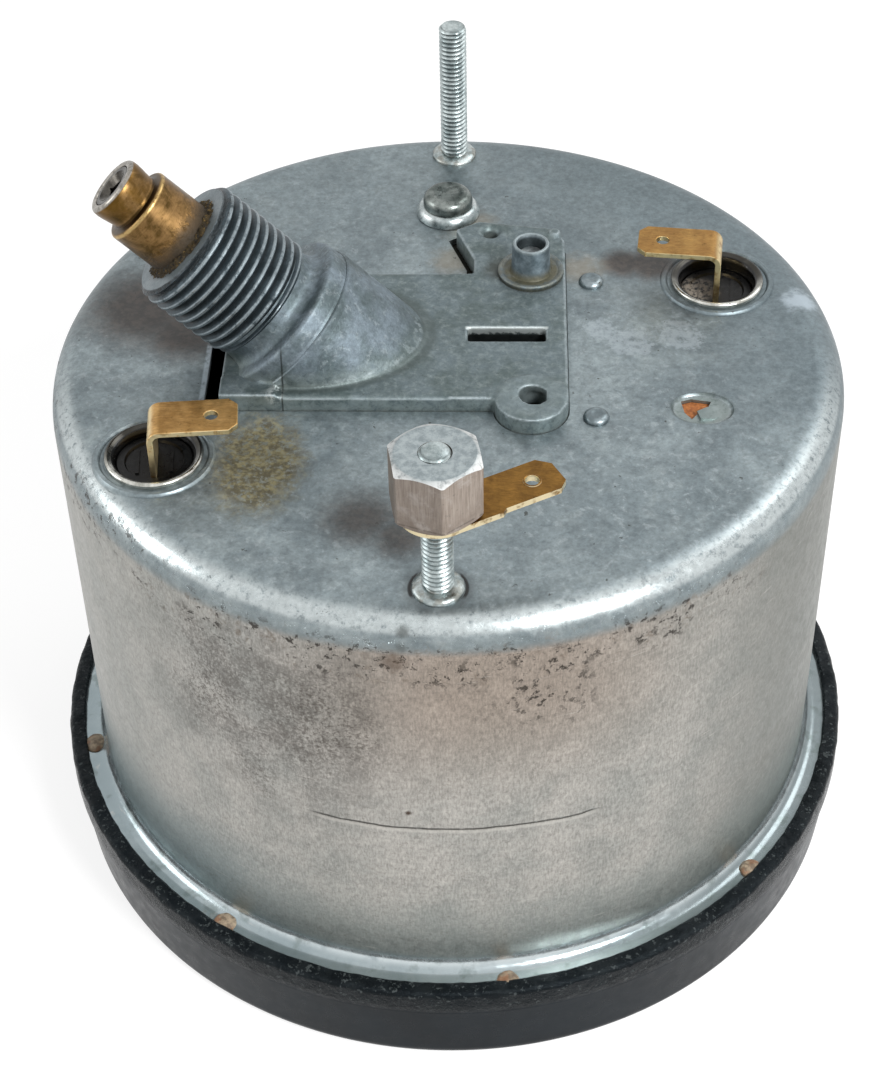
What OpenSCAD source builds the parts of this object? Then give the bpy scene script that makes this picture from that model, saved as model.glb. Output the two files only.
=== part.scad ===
// Magnetic speedometer with a round steel case, lying face down on its bezel.
// Frame: origin at the centre of the bezel's front rim, +Z along the case
// axis towards the back, +Y towards the far stud. Millimetres.

/* [Case] */
// Outer radius of the can
case_r = 54; // [50:0.5:60]
// Height of the can's back face above the bezel's front rim
case_depth = 81.5; // [79:0.5:90]
// Sheet thickness of the can
case_wall = 1; // [0.8:0.1:1.4]
// Outer rounding between the can's side and back
back_round = 4.5; // [3:0.5:6]
// Width of the turned-out flange past the can
flange_w = 4.1; // [3.5:0.1:4.5]
// Height of the flange's front face
flange_z = 14; // [13:0.5:15]
// Inside radius of the bend into the flange
flare_r = 2; // [1:0.1:2.4]
// Radius of the spare locating hole in the back
locating_r = 2.3; // [1.5:0.1:3]
// Place of the spare locating hole
locating_xy = [33.9, -12.6];

/* [Bezel and glass] */
// Sheet thickness of the bezel
bezel_wall = 1.2; // [0.9:0.1:1.5]
// How far the front lip of the bezel reaches in from the can's side
bezel_cover = 3.4; // [2.5:0.1:5]
// Height of the rolled bead behind the bezel's smooth face
bead_h = 4.4; // [3:0.1:5]
// How far the bezel's smooth face tapers in towards the front
bezel_taper = 1.1; // [0.5:0.1:1.5]
// Rounding at the front of the bezel
bezel_round = 2.2; // [1.5:0.1:2.6]
// How far the rolled lip reaches over the flange
lip_cover = 0.9; // [0.6:0.1:1.4]
// Thickness of the rolled lip
lip_t = 1; // [0.8:0.1:1.4]
// Thickness of the glass
glass_t = 2.5; // [2:0.1:3]
// Thickness of the gasket on each side of the glass
gasket_t = 0.9; // [0.6:0.1:1.2]
// Sheet thickness of the dial surround
shroud_wall = 1; // [0.8:0.1:1.4]

/* [Dial and pointer] */
// Thickness of the dial plate
dial_t = 1; // [0.8:0.1:1.4]
// Distance of the dial screws from the centre
dial_screw_x = 37; // [36:0.5:40]
// Length of the needle from the centre
needle_len = 42; // [35:0.5:46]
// Width of the needle at its root
needle_w = 3; // [2:0.1:4]
// Thickness of the needle
needle_t = 0.8; // [0.6:0.1:1.2]
// Radius of the pointer's hub
hub_r = 5; // [4:0.1:6.5]
// Gap between the needle and the dial
needle_gap = 3.2; // [2.5:0.1:4]
// Angle of the needle at zero, from +X
needle_rest = -45; // [-60:1:-30]
// Distance of the stop pin from the centre
stop_r = 30; // [24:0.5:34]
// Radius of the stop pin
stop_pin_r = 0.8; // [0.6:0.1:1.2]

/* [Frame casting] */
// Height of the visible plate above the can's back
plate_h = 2.25; // [1.5:0.05:3]
// Left end of the visible plate
plate_x0 = -29.2; // [-30:0.1:-28]
// Right end of the visible plate
plate_x1 = 16.3; // [15.8:0.1:17]
// Near edge of the visible plate
plate_y0 = -13.6; // [-14:0.1:-12.5]
// Far edge of the visible plate
plate_y1 = 14; // [13:0.1:15]
// Thickness of the base flange inside the can
base_t = 4; // [3:0.1:5]
// Left gap of the can's cut-out past the plate
cutout_gap = 3.2; // [2.5:0.1:3.5]
// Gap of the can's cut-out along the notch
notch_gap = 1.8; // [1:0.1:2.4]
// Radius of the round lug
lug_r = 4.9; // [4:0.1:5]
// Radius of the hole in the lug
lug_hole_r = 2; // [1.5:0.1:2.5]
// Size of the slot in the plate
slot_size = [10.6, 3];
// Centre of the slot
slot_xy = [8.1, 0.1];
// Radius of the movement pillars
pillar_r = 3; // [2.5:0.1:3.5]
// Place of the movement pillars, mirrored to four
pillar_xy = [21, 8.5];

/* [Cable drive] */
// Tilt of the cable axis above the can's back
boss_angle = 45.5; // [44:0.1:48]
// Distance of the boss's end face from the case axis
boss_reach = 34.6; // [34:0.1:36]
// Height of the boss's end face above the can's back
boss_rise = 17.85; // [17.5:0.05:19]
// Crest radius of the cable nut's thread
thread_r = 8.95; // [8.5:0.05:9.5]
// Depth of the cable nut's thread
thread_depth = 0.85; // [0.6:0.05:1]
// Pitch of the cable nut's thread
thread_pitch = 1.5; // [1:0.25:2]
// Length of the cable nut's thread
thread_len = 13.5; // [12:0.5:14]
// Radius of the elbow under the boss
elbow_r = 11.6; // [11:0.1:12]
// Distance of the elbow's shoulder from the end face
elbow_start = 16.5; // [15.5:0.1:18]
// Radius of the brass sleeve
sleeve_r = 5.2; // [4.8:0.1:5.6]
// Length of the sleeve's wide part past the end face
sleeve_out = 7.8; // [6:0.1:9]
// Depth of the sleeve in the boss
sleeve_in = 12; // [8:0.5:14]
// Radius of the sleeve's nose
nose_r = 4.2; // [4:0.1:4.6]
// Length of the sleeve's nose
nose_len = 4.4; // [3.5:0.1:5]
// Radius of the input spindle
spindle_r = 3; // [2.6:0.1:3.3]
// Width of the square drive socket
socket_w = 2.7; // [2.2:0.1:3]
// Depth of the square drive socket
socket_depth = 12; // [8:0.5:16]

/* [Gears] */
// Teeth on each of the two bevel gears
bevel_teeth = 12; // [10:1:14]
// Module of the bevel gears at their wide ends
bevel_m = 0.9; // [0.85:0.01:0.95]
// Width of the bevel teeth along the gear's axis
bevel_w = 3.7; // [2.5:0.1:4]
// Teeth on the layshaft's wheel
lay_teeth = 25; // [24:1:26]
// Module of the layshaft's wheel and its worm
lay_m = 0.6; // [0.58:0.01:0.62]
// Pitch radius of the magnet spindle's worm
lay_worm_r = 3.5; // [3.3:0.1:3.8]
// Width of the layshaft's wheel
lay_wheel_w = 2.4; // [1.8:0.1:3]
// Teeth on each counter's wheel
count_teeth = 40; // [38:1:42]
// Module of the counter wheels and their worms
count_m = 0.35; // [0.34:0.01:0.36]
// Pitch radius of the layshaft's two worms
count_worm_r = 3; // [2.8:0.1:3.3]
// Width of each counter's wheel
count_wheel_w = 2; // [1.6:0.1:2.2]
// Teeth on the reset wheel
reset_teeth = 22; // [21:1:23]
// Module of the reset wheel and its worm
reset_m = 0.5; // [0.49:0.01:0.52]
// Pitch radius of the reset spindle's worm
reset_worm_r = 2.4; // [2.3:0.05:2.5]
// Width of the reset wheel
reset_wheel_w = 1.6; // [1.2:0.1:2]

/* [Counters] */
// Radius of the number drums
drum_r = 6.7; // [6.5:0.05:6.75]
// Drums in the distance counter
drum_count = 6; // [6:1:6]
// Drums in the trip counter
trip_count = 4; // [4:1:4]
// Spacing of the distance counter's drums
drum_pitch = 3.4; // [3.2:0.1:3.6]
// Spacing of the trip counter's drums
trip_pitch = 4.4; // [4:0.1:4.5]
// Gap between two drums
drum_gap = 0.3; // [0.2:0.05:0.5]
// Radius of the counter shafts and the layshaft
shaft_r = 1.5; // [1.2:0.1:1.7]
// Distance of the counters' end brackets from the centre
bracket_x = 17; // [17:0.1:18]
// Thickness of the counters' end brackets
bracket_t = 3; // [2:0.1:3]
// Gap between the drums and the dial
drum_dial_gap = 1.4; // [1.2:0.1:1.8]

/* [Magnet and cup] */
// Radius of the magnet spindle
magnet_spindle_r = 1.5; // [1.2:0.1:1.6]
// Radius of the magnet
magnet_r = 10; // [9.5:0.1:10.3]
// Thickness of the magnet
magnet_t = 3.8; // [3:0.1:4.2]
// Gap between the magnet, the cup and the return ring
air_gap = 0.9; // [0.6:0.05:1]
// Sheet thickness of the speed cup
cup_wall = 0.5; // [0.4:0.05:0.7]
// Wall of the steel return ring
flux_wall = 1; // [0.8:0.1:1.2]
// Radius of the pointer's staff
staff_r = 0.8; // [0.7:0.05:1]
// Thickness of the pointer's bridge
bridge_t = 1.2; // [1:0.1:1.4]
// Distance of the bridge's posts from the centre
bridge_x = 24; // [23.5:0.1:26]
// Thickness of the movement plate
mplate_t = 3; // [2.5:0.1:4]
// Gap between the layshaft's wheel and the movement plate
mplate_gap = 0.9; // [0.5:0.1:1.5]
// Turns of the hairspring
hair_turns = 5; // [4:1:6]
// Strip thickness of the hairspring
hair_t = 0.25; // [0.2:0.01:0.3]
// Strip height of the hairspring
hair_h = 0.6; // [0.4:0.05:0.65]

/* [Trip reset] */
// Place of the reset boss
reset_xy = [11.4, 14.1];
// Height of the reset boss above the can's back
reset_h = 7.35; // [6:0.05:9]
// Radius of the reset boss
reset_boss_r = 2.4; // [2.3:0.05:2.8]
// Radius of the flange round the reset boss
reset_flange_r = 4.25; // [3.6:0.05:4.6]
// Radius of the reset spindle
reset_r = 1.6; // [1.3:0.05:1.7]

/* [Studs, nut and tag] */
// Distance of each stud's axis in from the can's side
stud_inset = 6.9; // [6.5:0.1:9]
// Crest radius of the studs
stud_r = 2; // [1.8:0.05:2.3]
// Thread pitch of the studs
stud_pitch = 0.7; // [0.6:0.05:0.8]
// Height of the far stud above the back
far_stud_h = 22; // [18:0.5:26]
// Height of the near stud above the back
near_stud_h = 21.6; // [21.5:0.1:22.5]
// Radius of the stud's shoulder on the back
shoulder_r = 3.3; // [2.9:0.1:3.6]
// Thickness of the stud's shoulder
shoulder_t = 0.7; // [0.4:0.1:1]
// Width of the nut across its flats
nut_af = 10; // [9.5:0.1:11]
// Height of the nut's hexagon
nut_h = 7.9; // [7:0.1:8.2]
// Height of the nut's top above the back
nut_top = 21.3; // [21:0.1:21.5]
// Width of the tag and of the lamp blades
blade_w = 6.3; // [5.8:0.1:6.5]
// Thickness of the tag and of the lamp blades
blade_t = 0.8; // [0.6:0.05:0.9]
// Length of the tag from the stud to its tip
tag_len = 15.4; // [14:0.1:17]
// Direction of the tag from +X
tag_angle = 31; // [20:1:40]

/* [Lamps] */
// Distance of the left lamp's axis in from the can's side
left_lamp_inset = 10.1; // [10:0.1:11]
// Direction of the left lamp from the case axis
left_lamp_dir = 211.6; // [208:0.1:216]
// Distance of the right lamp's axis in from the can's side
right_lamp_inset = 13.5; // [10:0.1:15]
// Direction of the right lamp from the case axis
right_lamp_dir = 21.9; // [18:0.1:26]
// Direction of the left blade from +X
left_blade_angle = 5; // [-5:1:15]
// Direction of the right blade from +X
right_blade_angle = 174; // [165:1:185]
// Radius of the lamp holes in the back
lamp_hole_r = 6; // [5.5:0.1:6.4]
// Width of the shell's rim on the back
lamp_rim_w = 0.45; // [0.3:0.05:0.6]
// Depth of the lamp shells inside the can
lamp_depth = 14; // [10:0.5:18]
// Wall of the lamp shells
lamp_wall = 0.8; // [0.6:0.05:1]
// Height of the lamp blades above the back
blade_h = 6.5; // [5:0.1:8]
// Length of the lamp blades from the leg to the tip
blade_len = 11.3; // [10:0.1:13]

/* [Back fasteners] */
// Place of the back screw
back_screw_xy = [-0.6, 32];
// Radius of the back screw's head
back_screw_r = 3.4; // [3:0.1:3.8]
// Radius of the washer under the back screw
back_washer_r = 4.6; // [4.2:0.1:5]
// Place of the two frame rivets, mirrored in Y
rivet_xy = [19.9, 14.9];
// Radius of the rivet heads
rivet_r = 1.75; // [1.5:0.05:2]

/* [Hidden] */
$fn = 96;

// Clearances
run_gap = 0.04;       // running fit of a shaft in its bore, on the radius
slide_gap = 0.1;      // pieces that slide past each other
clear = 0.3;          // pieces that pass each other
plate_gap = 0.15;     // plate in the can's cut-out
eps = 0.01;

// Can and bezel levels
back_z = case_depth;
inner_z = back_z - case_wall;
can_in_r = case_r - case_wall;
flange_r = case_r + flange_w;
flange_top = flange_z + case_wall;
bezel_in_r = flange_r + clear;
bezel_out_r = bezel_in_r + bezel_wall;
lip_top = flange_top + lip_t;
bezel_web = bezel_wall + clear;
front_gasket_z = bezel_web;
glass_z = front_gasket_z + gasket_t;
rear_gasket_z = glass_z + glass_t;
shroud_z = rear_gasket_z + gasket_t;
glass_r = bezel_in_r - bezel_taper - clear;
shroud_in_r = case_r - 2.5;
gasket_in_r = shroud_in_r + shroud_wall;

// Dial and pointer levels, the dial's face looks towards -Z
dial_z = flange_z;
dial_back = dial_z + dial_t;
dial_r = can_in_r - 1.5;
needle_z = dial_z - needle_gap;
hub_h = needle_t + 3;
hub_z = needle_z - 2.2;
hair_z = dial_back + 0.4;
bridge_z = hair_z + hair_h + 0.2;
bridge_top = bridge_z + bridge_t;
cup_z = bridge_top + 0.8;
magnet_z = cup_z + cup_wall + air_gap;
magnet_top = magnet_z + magnet_t;
cup_r = magnet_r + air_gap + cup_wall;
flux_in_r = cup_r + air_gap;
flux_out_r = flux_in_r + flux_wall;
flux_top = magnet_top + 1.2;
cup_top = magnet_top + 0.2;

// Gear train places
count_r = count_m * count_teeth / 2;
lay_r = lay_m * lay_teeth / 2;
reset_wheel_r = reset_m * reset_teeth / 2;
drum_z = dial_back + drum_dial_gap + drum_r;
lay_z = drum_z + count_r + count_worm_r;
lay_x = -(lay_r + lay_worm_r);
trip_y = reset_xy[1] + reset_worm_r + reset_wheel_r;
counter_y = -trip_y;
drum_x0 = lay_x + count_wheel_w / 2 + drum_gap;
lay_len = 2 * (trip_y + 5);
mplate_z = lay_z + lay_r + lay_m + mplate_gap;
mplate_top = mplate_z + mplate_t;
lay_bracket_y = 12;

// Cable axis: a point on the boss's end face and its meeting with the case axis
plate_top = back_z + plate_h;
base_z = inner_z - base_t;
drive_end = [-boss_reach, 0, back_z + boss_rise];
apex_s = boss_reach / cos(boss_angle);
apex_z = drive_end[2] - boss_reach * tan(boss_angle);
cone = (90 - boss_angle) / 2;
bevel_r = bevel_m * bevel_teeth / 2;
bevel_back = bevel_r / tan(cone);
bevel_shrink = (bevel_back - bevel_w) / bevel_back;
bevel_face_s = apex_s - bevel_back;
pocket_r = bevel_r + bevel_m + clear;
rear_pivot_r = 1;
rear_bush_r = 2;
rear_bush_z = apex_z + bevel_back + 0.9;
rear_bush_h = plate_top - 1.5 - rear_bush_z;
lug_xy = [plate_x1 - lug_r, plate_y0 + 0.2];
screw_r = 1.25;
dial_head_h = 1.2;
dial_bite = 6;
bridge_bite = 5;
pillar_bite = 7;
screw_slot_w = 0.6;
screw_slot_d = 0.5;
bridge_w = 8;
bridge_end = 3;
bridge_post_r = 2.6;
hair_stud_w = 1.6;
hair_pitch = 1;
screw_head_r = 2.5;
screw_head_h = 1.6;
lamp_rim_r = lamp_hole_r + lamp_rim_w;
lamp_shell_r = lamp_hole_r - slide_gap;
nut_bottom = back_z + nut_top - nut_h;
stud_y = case_r - stud_inset;
stud_shank_r = stud_r - 0.3;
stud_head_r = max(stud_r + 0.2, min(stud_r + 2, stud_inset - back_round - 0.1));
left_lamp_xy = (case_r - left_lamp_inset) * [cos(left_lamp_dir), sin(left_lamp_dir)];
right_lamp_xy = (case_r - right_lamp_inset) * [cos(right_lamp_dir), sin(right_lamp_dir)];
spigot_r = stud_r + 1.2;
tag_z = nut_bottom - 0.12 - blade_t;

// A quarter arc of points from angle a to angle b about c
function arc(c, r, a, b, n = 12) = [for (i = [0:n]) c + r * [cos(a + (b - a) * i / n), sin(a + (b - a) * i / n)]];

// Corner points of a gear's outline, one tooth centred on +X
function gear_points(teeth, m, slack) =
  let (r = teeth * m / 2, ra = r + 0.85 * m, rd = r - 1.2 * m, half = PI * m / 4 - slack / 2)
  let (tip = half - 0.85 * m * tan(20), root = half + 1.2 * m * tan(20))
  [for (i = [0:teeth - 1]) let (a = 360 * i / teeth)
    for (p = [[rd, -root], [ra, -tip], [ra, tip], [rd, root]])
      let (b = a + p[1] / p[0] * 180 / PI) p[0] * [cos(b), sin(b)]];

// Spur wheel on the XY plane, centred on its width, bored for a shaft
module wheel(teeth, m, w, bore, slack) {
  difference() {
    linear_extrude(w, center = true) polygon(gear_points(teeth, m, slack));
    cylinder(r = bore, h = w + 1, center = true);
  }
}

// One-start right-hand worm thread along Z, with a gap facing +X at z = 0
module worm_thread(m, r, turns, slack) {
  steps = 20;
  p = PI * m;
  half = p / 4 - slack / 2;
  tip_r = r + 0.85 * m;
  root_r = r - 1.2 * m - 0.15;
  outline = [[root_r, -half - (r - root_r) * tan(20)], [tip_r, -half + 0.85 * m * tan(20)],
             [tip_r, half - 0.85 * m * tan(20)], [root_r, half + (r - root_r) * tan(20)]];
  n = turns * steps;
  pts = [for (i = [0:n]) let (a = 360 * (i - n / 2) / steps) for (q = outline)
          [q[0] * cos(a), q[0] * sin(a), q[1] + p * a / 360 + p / 2]];
  faces = concat(
    [[3, 2, 1, 0]],
    [for (i = [0:n - 1]) for (j = [0:3]) let (k = (j + 1) % 4) each
      [[4 * i + j, 4 * i + k, 4 * i + 4 + k], [4 * i + j, 4 * i + 4 + k, 4 * i + 4 + j]]],
    [[4 * n, 4 * n + 1, 4 * n + 2, 4 * n + 3]]);
  polyhedron(pts, faces);
}

module worm(m, r, turns, slack) {
  cylinder(r = r - 1.2 * m, h = PI * m * (turns + 1.6), center = true);
  worm_thread(m, r, turns, slack);
}

// Ring-grooved thread along Z from z = 0, with flat crests
module thread_rings(r, depth, pitch, len) {
  n = floor(len / pitch);
  flat = pitch * 0.2;
  ridge = [for (i = [0:n - 1]) for (q = [[r - depth, 0], [r, 0.3], [r, 0.5], [r - depth, 0.8]])
            [q[0], (i + q[1]) * pitch + flat / 2]];
  rotate_extrude() polygon(concat([[0, 0], [r - depth, 0]], ridge, [[r - depth, len], [0, len]]));
}

// Places children along the cable axis, s past the boss's end face
module on_drive(s) {
  translate(drive_end) rotate([0, boss_angle - 90, 0]) translate([0, 0, s]) children();
}

// Outline of the visible plate, grown by c all round, left at its left end and
// notch along the notch of its ear
module plate_outline(c = 0, left = 0, notch = 0) {
  x1 = plate_x1 + c;
  y1 = plate_y1 + c;
  translate([plate_x0 - left, plate_y0 - c]) square([x1 - plate_x0 + left, y1 - plate_y0 + c]);
  polygon([[x1 - 12.9 - notch, y1 - 1], [x1 - 12.9 - notch, y1 + 3.4], [x1 - 15.6 - notch, y1 + 10.6],
           [x1 - 12.3 - notch, y1 + 12.6 + c], [x1 - 1.5, y1 + 10.8 + c], [x1, y1 + 7.7], [x1, y1 - 1]]);
  translate(lug_xy) circle(lug_r + c);
}

module mirror_y() {
  children();
  mirror([0, 1, 0]) children();
}

module four_pillars() {
  for (sx = [-1, 1], sy = [-1, 1]) translate([sx * pillar_xy[0], sy * pillar_xy[1], 0]) children();
}

// Steel can with rounded back edge and turned-out flange
module case() {
  k = case_r - back_round;
  bend = [case_r + flare_r, flange_top + flare_r];
  profile = concat(
    [[0, back_z]],
    arc([k, back_z - back_round], back_round, 90, 0),
    arc(bend, flare_r, 180, 270),
    [[flange_r, flange_top], [flange_r, flange_z]],
    arc(bend, flare_r + case_wall, 270, 180),
    arc([k, back_z - back_round], back_round - case_wall, 0, 90),
    [[0, inner_z]]);
  color("silver") difference() {
    union() {
      rotate_extrude() polygon(profile);
      for (c = [left_lamp_xy, right_lamp_xy]) translate([c[0], c[1], back_z - eps])
        cylinder(r1 = lamp_rim_r + 1.3, r2 = lamp_rim_r + 0.7, h = 0.45);
    }
    translate([0, 0, inner_z - 1]) linear_extrude(case_wall + 2) plate_outline(plate_gap, cutout_gap, notch_gap);
    for (c = [left_lamp_xy, right_lamp_xy]) translate([c[0], c[1], 0]) {
      translate([0, 0, inner_z - 1]) cylinder(r = lamp_hole_r, h = case_wall + 2);
      translate([0, 0, back_z]) cylinder(r = lamp_rim_r + slide_gap, h = 2);
    }
    for (s = [-1, 1]) translate([0, s * stud_y, inner_z - 1]) cylinder(r = stud_shank_r, h = case_wall + 2);
    mirror_y() translate([rivet_xy[0], rivet_xy[1], inner_z - 1]) cylinder(r = rivet_r * 0.7, h = case_wall + 2);
    translate([back_screw_xy[0], back_screw_xy[1], inner_z - 1]) cylinder(r = screw_r + slide_gap, h = case_wall + 2);
    translate([locating_xy[0], locating_xy[1], inner_z - 1]) cylinder(r = locating_r, h = case_wall + 2);
  }
}

// Black pressed bezel, its lip rolled over the can's flange
module bezel() {
  bead_z = lip_top - bead_h;
  front_r = bezel_out_r - bezel_taper;
  in_r = case_r - bezel_cover;
  profile = concat(
    [[flange_r - lip_cover, flange_top], [flange_r - lip_cover, lip_top - 0.3]],
    [[flange_r - lip_cover + 0.3, lip_top]],
    arc([bezel_out_r - 0.8, lip_top - 0.8], 0.8, 90, 0, 6),
    [[bezel_out_r, bead_z + 0.2], [bezel_out_r - 0.25, bead_z]],
    arc([front_r - bezel_round, bezel_round], bezel_round, 0, -90, 8),
    [[in_r + 2.4, 0], [in_r, 0.7], [in_r, 0.7 + bezel_wall * 0.6], [in_r + 2.4, bezel_web]],
    [[bezel_in_r - bezel_taper, bezel_web], [bezel_in_r, bead_z], [bezel_in_r, flange_top]]);
  color("#2b2d31") rotate_extrude() polygon(profile);
}

module ring(r0, r1, h) {
  difference() {
    cylinder(r = r1, h = h);
    translate([0, 0, -1]) cylinder(r = r0, h = h + 2);
  }
}

module front_gasket() {
  color("black") translate([0, 0, front_gasket_z]) ring(gasket_in_r, glass_r, gasket_t);
}

module glass() {
  color("lightcyan", 0.4) translate([0, 0, glass_z]) cylinder(r = glass_r, h = glass_t);
}

module rear_gasket() {
  color("black") translate([0, 0, rear_gasket_z]) ring(gasket_in_r, glass_r, gasket_t);
}

// Dial surround between the glass and the can's flange
module shroud() {
  profile = [[shroud_in_r, shroud_z], [glass_r, shroud_z], [glass_r, shroud_z + shroud_wall],
             [shroud_in_r + shroud_wall, shroud_z + shroud_wall],
             [shroud_in_r + shroud_wall, flange_z - shroud_wall], [flange_r, flange_z - shroud_wall],
             [flange_r, flange_z], [shroud_in_r, flange_z]];
  color("ivory") rotate_extrude() polygon(profile);
}

// Window in front of a counter, from its first drum to its last
module counter_window(y, count, pitch) {
  translate([drum_x0 - drum_gap / 2, y - 2.9, dial_z - 1]) cube([count * pitch, 5.8, dial_t + 2]);
}

module dial() {
  color("#1c1c1e") difference() {
    translate([0, 0, dial_z]) cylinder(r = dial_r, h = dial_t);
    translate([0, 0, dial_z - 1]) cylinder(r = staff_r + 0.8, h = dial_t + 2);
    for (s = [-1, 1]) translate([s * dial_screw_x, 0, dial_z - 1]) cylinder(r = screw_r + slide_gap, h = dial_t + 2);
    counter_window(counter_y, drum_count, drum_pitch);
    counter_window(trip_y, trip_count, trip_pitch);
    translate([stop_xy()[0], stop_xy()[1], dial_z - 1]) cylinder(r = stop_pin_r, h = dial_t + 2);
  }
}

module dial_screws() {
  color("silver") for (s = [-1, 1]) translate([s * dial_screw_x, 0, 0]) difference() {
    union() {
      translate([0, 0, dial_z - dial_head_h]) cylinder(r = screw_head_r, h = dial_head_h);
      translate([0, 0, dial_z - eps]) cylinder(r = screw_r, h = dial_t + dial_bite);
    }
    translate([-screw_head_r - 1, -screw_slot_w / 2, dial_z - dial_head_h - 1 + screw_slot_d])
      cube([2 * screw_head_r + 2, screw_slot_w, 1]);
  }
}

// Stop pin beside the needle at zero
function stop_xy() =
  let (a = needle_rest - asin((needle_w / 2 + stop_pin_r + 0.25) / stop_r)) stop_r * [cos(a), sin(a)];

module stop_pin() {
  color("silver") translate([stop_xy()[0], stop_xy()[1], needle_z - 0.6])
    cylinder(r = stop_pin_r, h = dial_back - needle_z + 0.6);
}

// Needle blade with its tail, clamped in the hub
module pointer() {
  tail = hub_r + 9;
  outline = [[-tail, -needle_w * 0.55], [-tail, needle_w * 0.55], [0, needle_w / 2], [needle_len - 5, 0.75],
             [needle_len, 0.2], [needle_len, -0.2], [needle_len - 5, -0.75], [0, -needle_w / 2]];
  color("orangered") rotate(needle_rest) translate([0, 0, needle_z]) difference() {
    linear_extrude(needle_t) polygon(outline);
    translate([0, 0, -1]) cylinder(r = staff_r + 0.6, h = needle_t + 2);
  }
}

module pointer_hub() {
  color("#222222") difference() {
    translate([0, 0, hub_z]) union() {
      cylinder(r1 = hub_r - 0.8, r2 = hub_r, h = 0.8);
      translate([0, 0, 0.8]) cylinder(r = hub_r, h = 2.2 - 0.8);
      cylinder(r = staff_r + 0.6, h = hub_h);
    }
    translate([0, 0, hub_z + 1.2]) cylinder(r = staff_r, h = hub_h);
  }
}

// Steel staff from the pointer to its pivot in the magnet spindle
module pointer_staff() {
  color("silver") union() {
    translate([0, 0, hub_z + 1.2]) cylinder(r = staff_r, h = magnet_z + 1.8 - hub_z - 1.2);
    translate([0, 0, hair_z - 0.1]) cylinder(r = staff_r + 0.7, h = hair_h + 0.2);
  }
}

module speed_cup() {
  color("#c8ccd0") difference() {
    union() {
      translate([0, 0, cup_z]) cylinder(r = cup_r, h = cup_top - cup_z);
      translate([0, 0, cup_z - 0.4]) cylinder(r = staff_r + 1.4, h = 0.6);
    }
    translate([0, 0, cup_z + cup_wall]) cylinder(r = cup_r - cup_wall, h = cup_top);
    translate([0, 0, cup_z - 1]) cylinder(r = staff_r, h = 4);
  }
}

// Spiral strip between the staff's collet and the bridge's stud
hair_r0 = staff_r + 0.85;
hair_r1 = hair_r0 + hair_turns * hair_pitch;
module hairspring() {
  n = hair_turns * 24;
  function spiral(i, d) = let (r = hair_r0 + (hair_r1 - hair_r0) * i / n + d, a = 15 * i) r * [cos(a), sin(a)];
  color("#b08d57") translate([0, 0, hair_z]) linear_extrude(hair_h) polygon(concat(
    [for (i = [0:n]) spiral(i, 0)], [for (i = [n:-1:0]) spiral(i, hair_t)]));
}

// Bridge that carries the staff's front bearing and the hairspring's stud
module pointer_bridge() {
  color("#b9bcc0") difference() {
    union() {
      translate([-bridge_x - bridge_end, -bridge_w / 2, bridge_z])
        cube([2 * (bridge_x + bridge_end), bridge_w, bridge_t]);
      translate([hair_r1 + hair_t, -hair_stud_w / 2, hair_z]) cube([hair_stud_w, hair_stud_w, bridge_z - hair_z + eps]);
    }
    translate([0, 0, bridge_z - 1]) cylinder(r = staff_r + run_gap, h = bridge_t + 2);
    for (s = [-1, 1]) translate([s * bridge_x, 0, bridge_z - 1]) cylinder(r = screw_r + slide_gap, h = bridge_t + 2);
  }
}

module bridge_screws() {
  color("silver") for (s = [-1, 1]) translate([s * bridge_x, 0, 0]) {
    translate([0, 0, dial_back + 0.15]) cylinder(r = screw_head_r - 0.3, h = bridge_z - dial_back - 0.15);
    translate([0, 0, bridge_z - eps]) cylinder(r = screw_r, h = bridge_t + bridge_bite);
  }
}

// Spindle from the bevel gear to the magnet, with the layshaft's worm
module magnet_spindle() {
  shoulder_z = rear_bush_z - 0.3;
  color("#9a9da2") difference() {
    union() {
      translate([0, 0, magnet_z]) cylinder(r = magnet_spindle_r, h = shoulder_z - magnet_z);
      translate([0, 0, shoulder_z - eps]) cylinder(r = rear_pivot_r, h = rear_bush_h - 0.1);
      translate([0, 0, lay_z]) rotate(180) worm(lay_m, lay_worm_r, 3, 0.12);
    }
    translate([0, 0, magnet_z - 1]) cylinder(r = staff_r + run_gap, h = 3.2);
  }
}

module magnet() {
  color("#55575c") translate([0, 0, magnet_z]) ring(magnet_spindle_r, magnet_r, magnet_t);
}

// Steel return ring, carried behind the magnet on its spindle
module flux_ring() {
  color("#8d9095") union() {
    translate([0, 0, cup_z + 0.4]) ring(flux_in_r, flux_out_r, flux_top - cup_z - 0.4);
    translate([0, 0, flux_top - 0.8]) ring(magnet_spindle_r, flux_in_r + eps, 0.8);
    translate([0, 0, magnet_top]) ring(magnet_spindle_r, magnet_spindle_r + 1.5, flux_top - magnet_top - 0.8 + eps);
  }
}

// Straight bevel gear, wide end at z = 0, shrinking along +Z to its cone's tip
module bevel(bore) {
  difference() {
    linear_extrude(bevel_w, scale = bevel_shrink) polygon(gear_points(bevel_teeth, bevel_m, 0.4));
    translate([0, 0, -1]) cylinder(r = bore, h = bevel_w + 2);
  }
}

module magnet_gear() {
  color("#b5a36a") translate([0, 0, apex_z + bevel_back]) mirror([0, 0, 1]) rotate(180 + 180 / bevel_teeth)
    bevel(magnet_spindle_r);
}

module rear_bush() {
  color("#a8763e") translate([0, 0, rear_bush_z]) ring(rear_pivot_r + run_gap, rear_bush_r, rear_bush_h);
}

module front_bush() {
  color("#a8763e") translate([0, 0, mplate_z]) ring(magnet_spindle_r + run_gap, magnet_spindle_r + 2, mplate_t);
}

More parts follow.
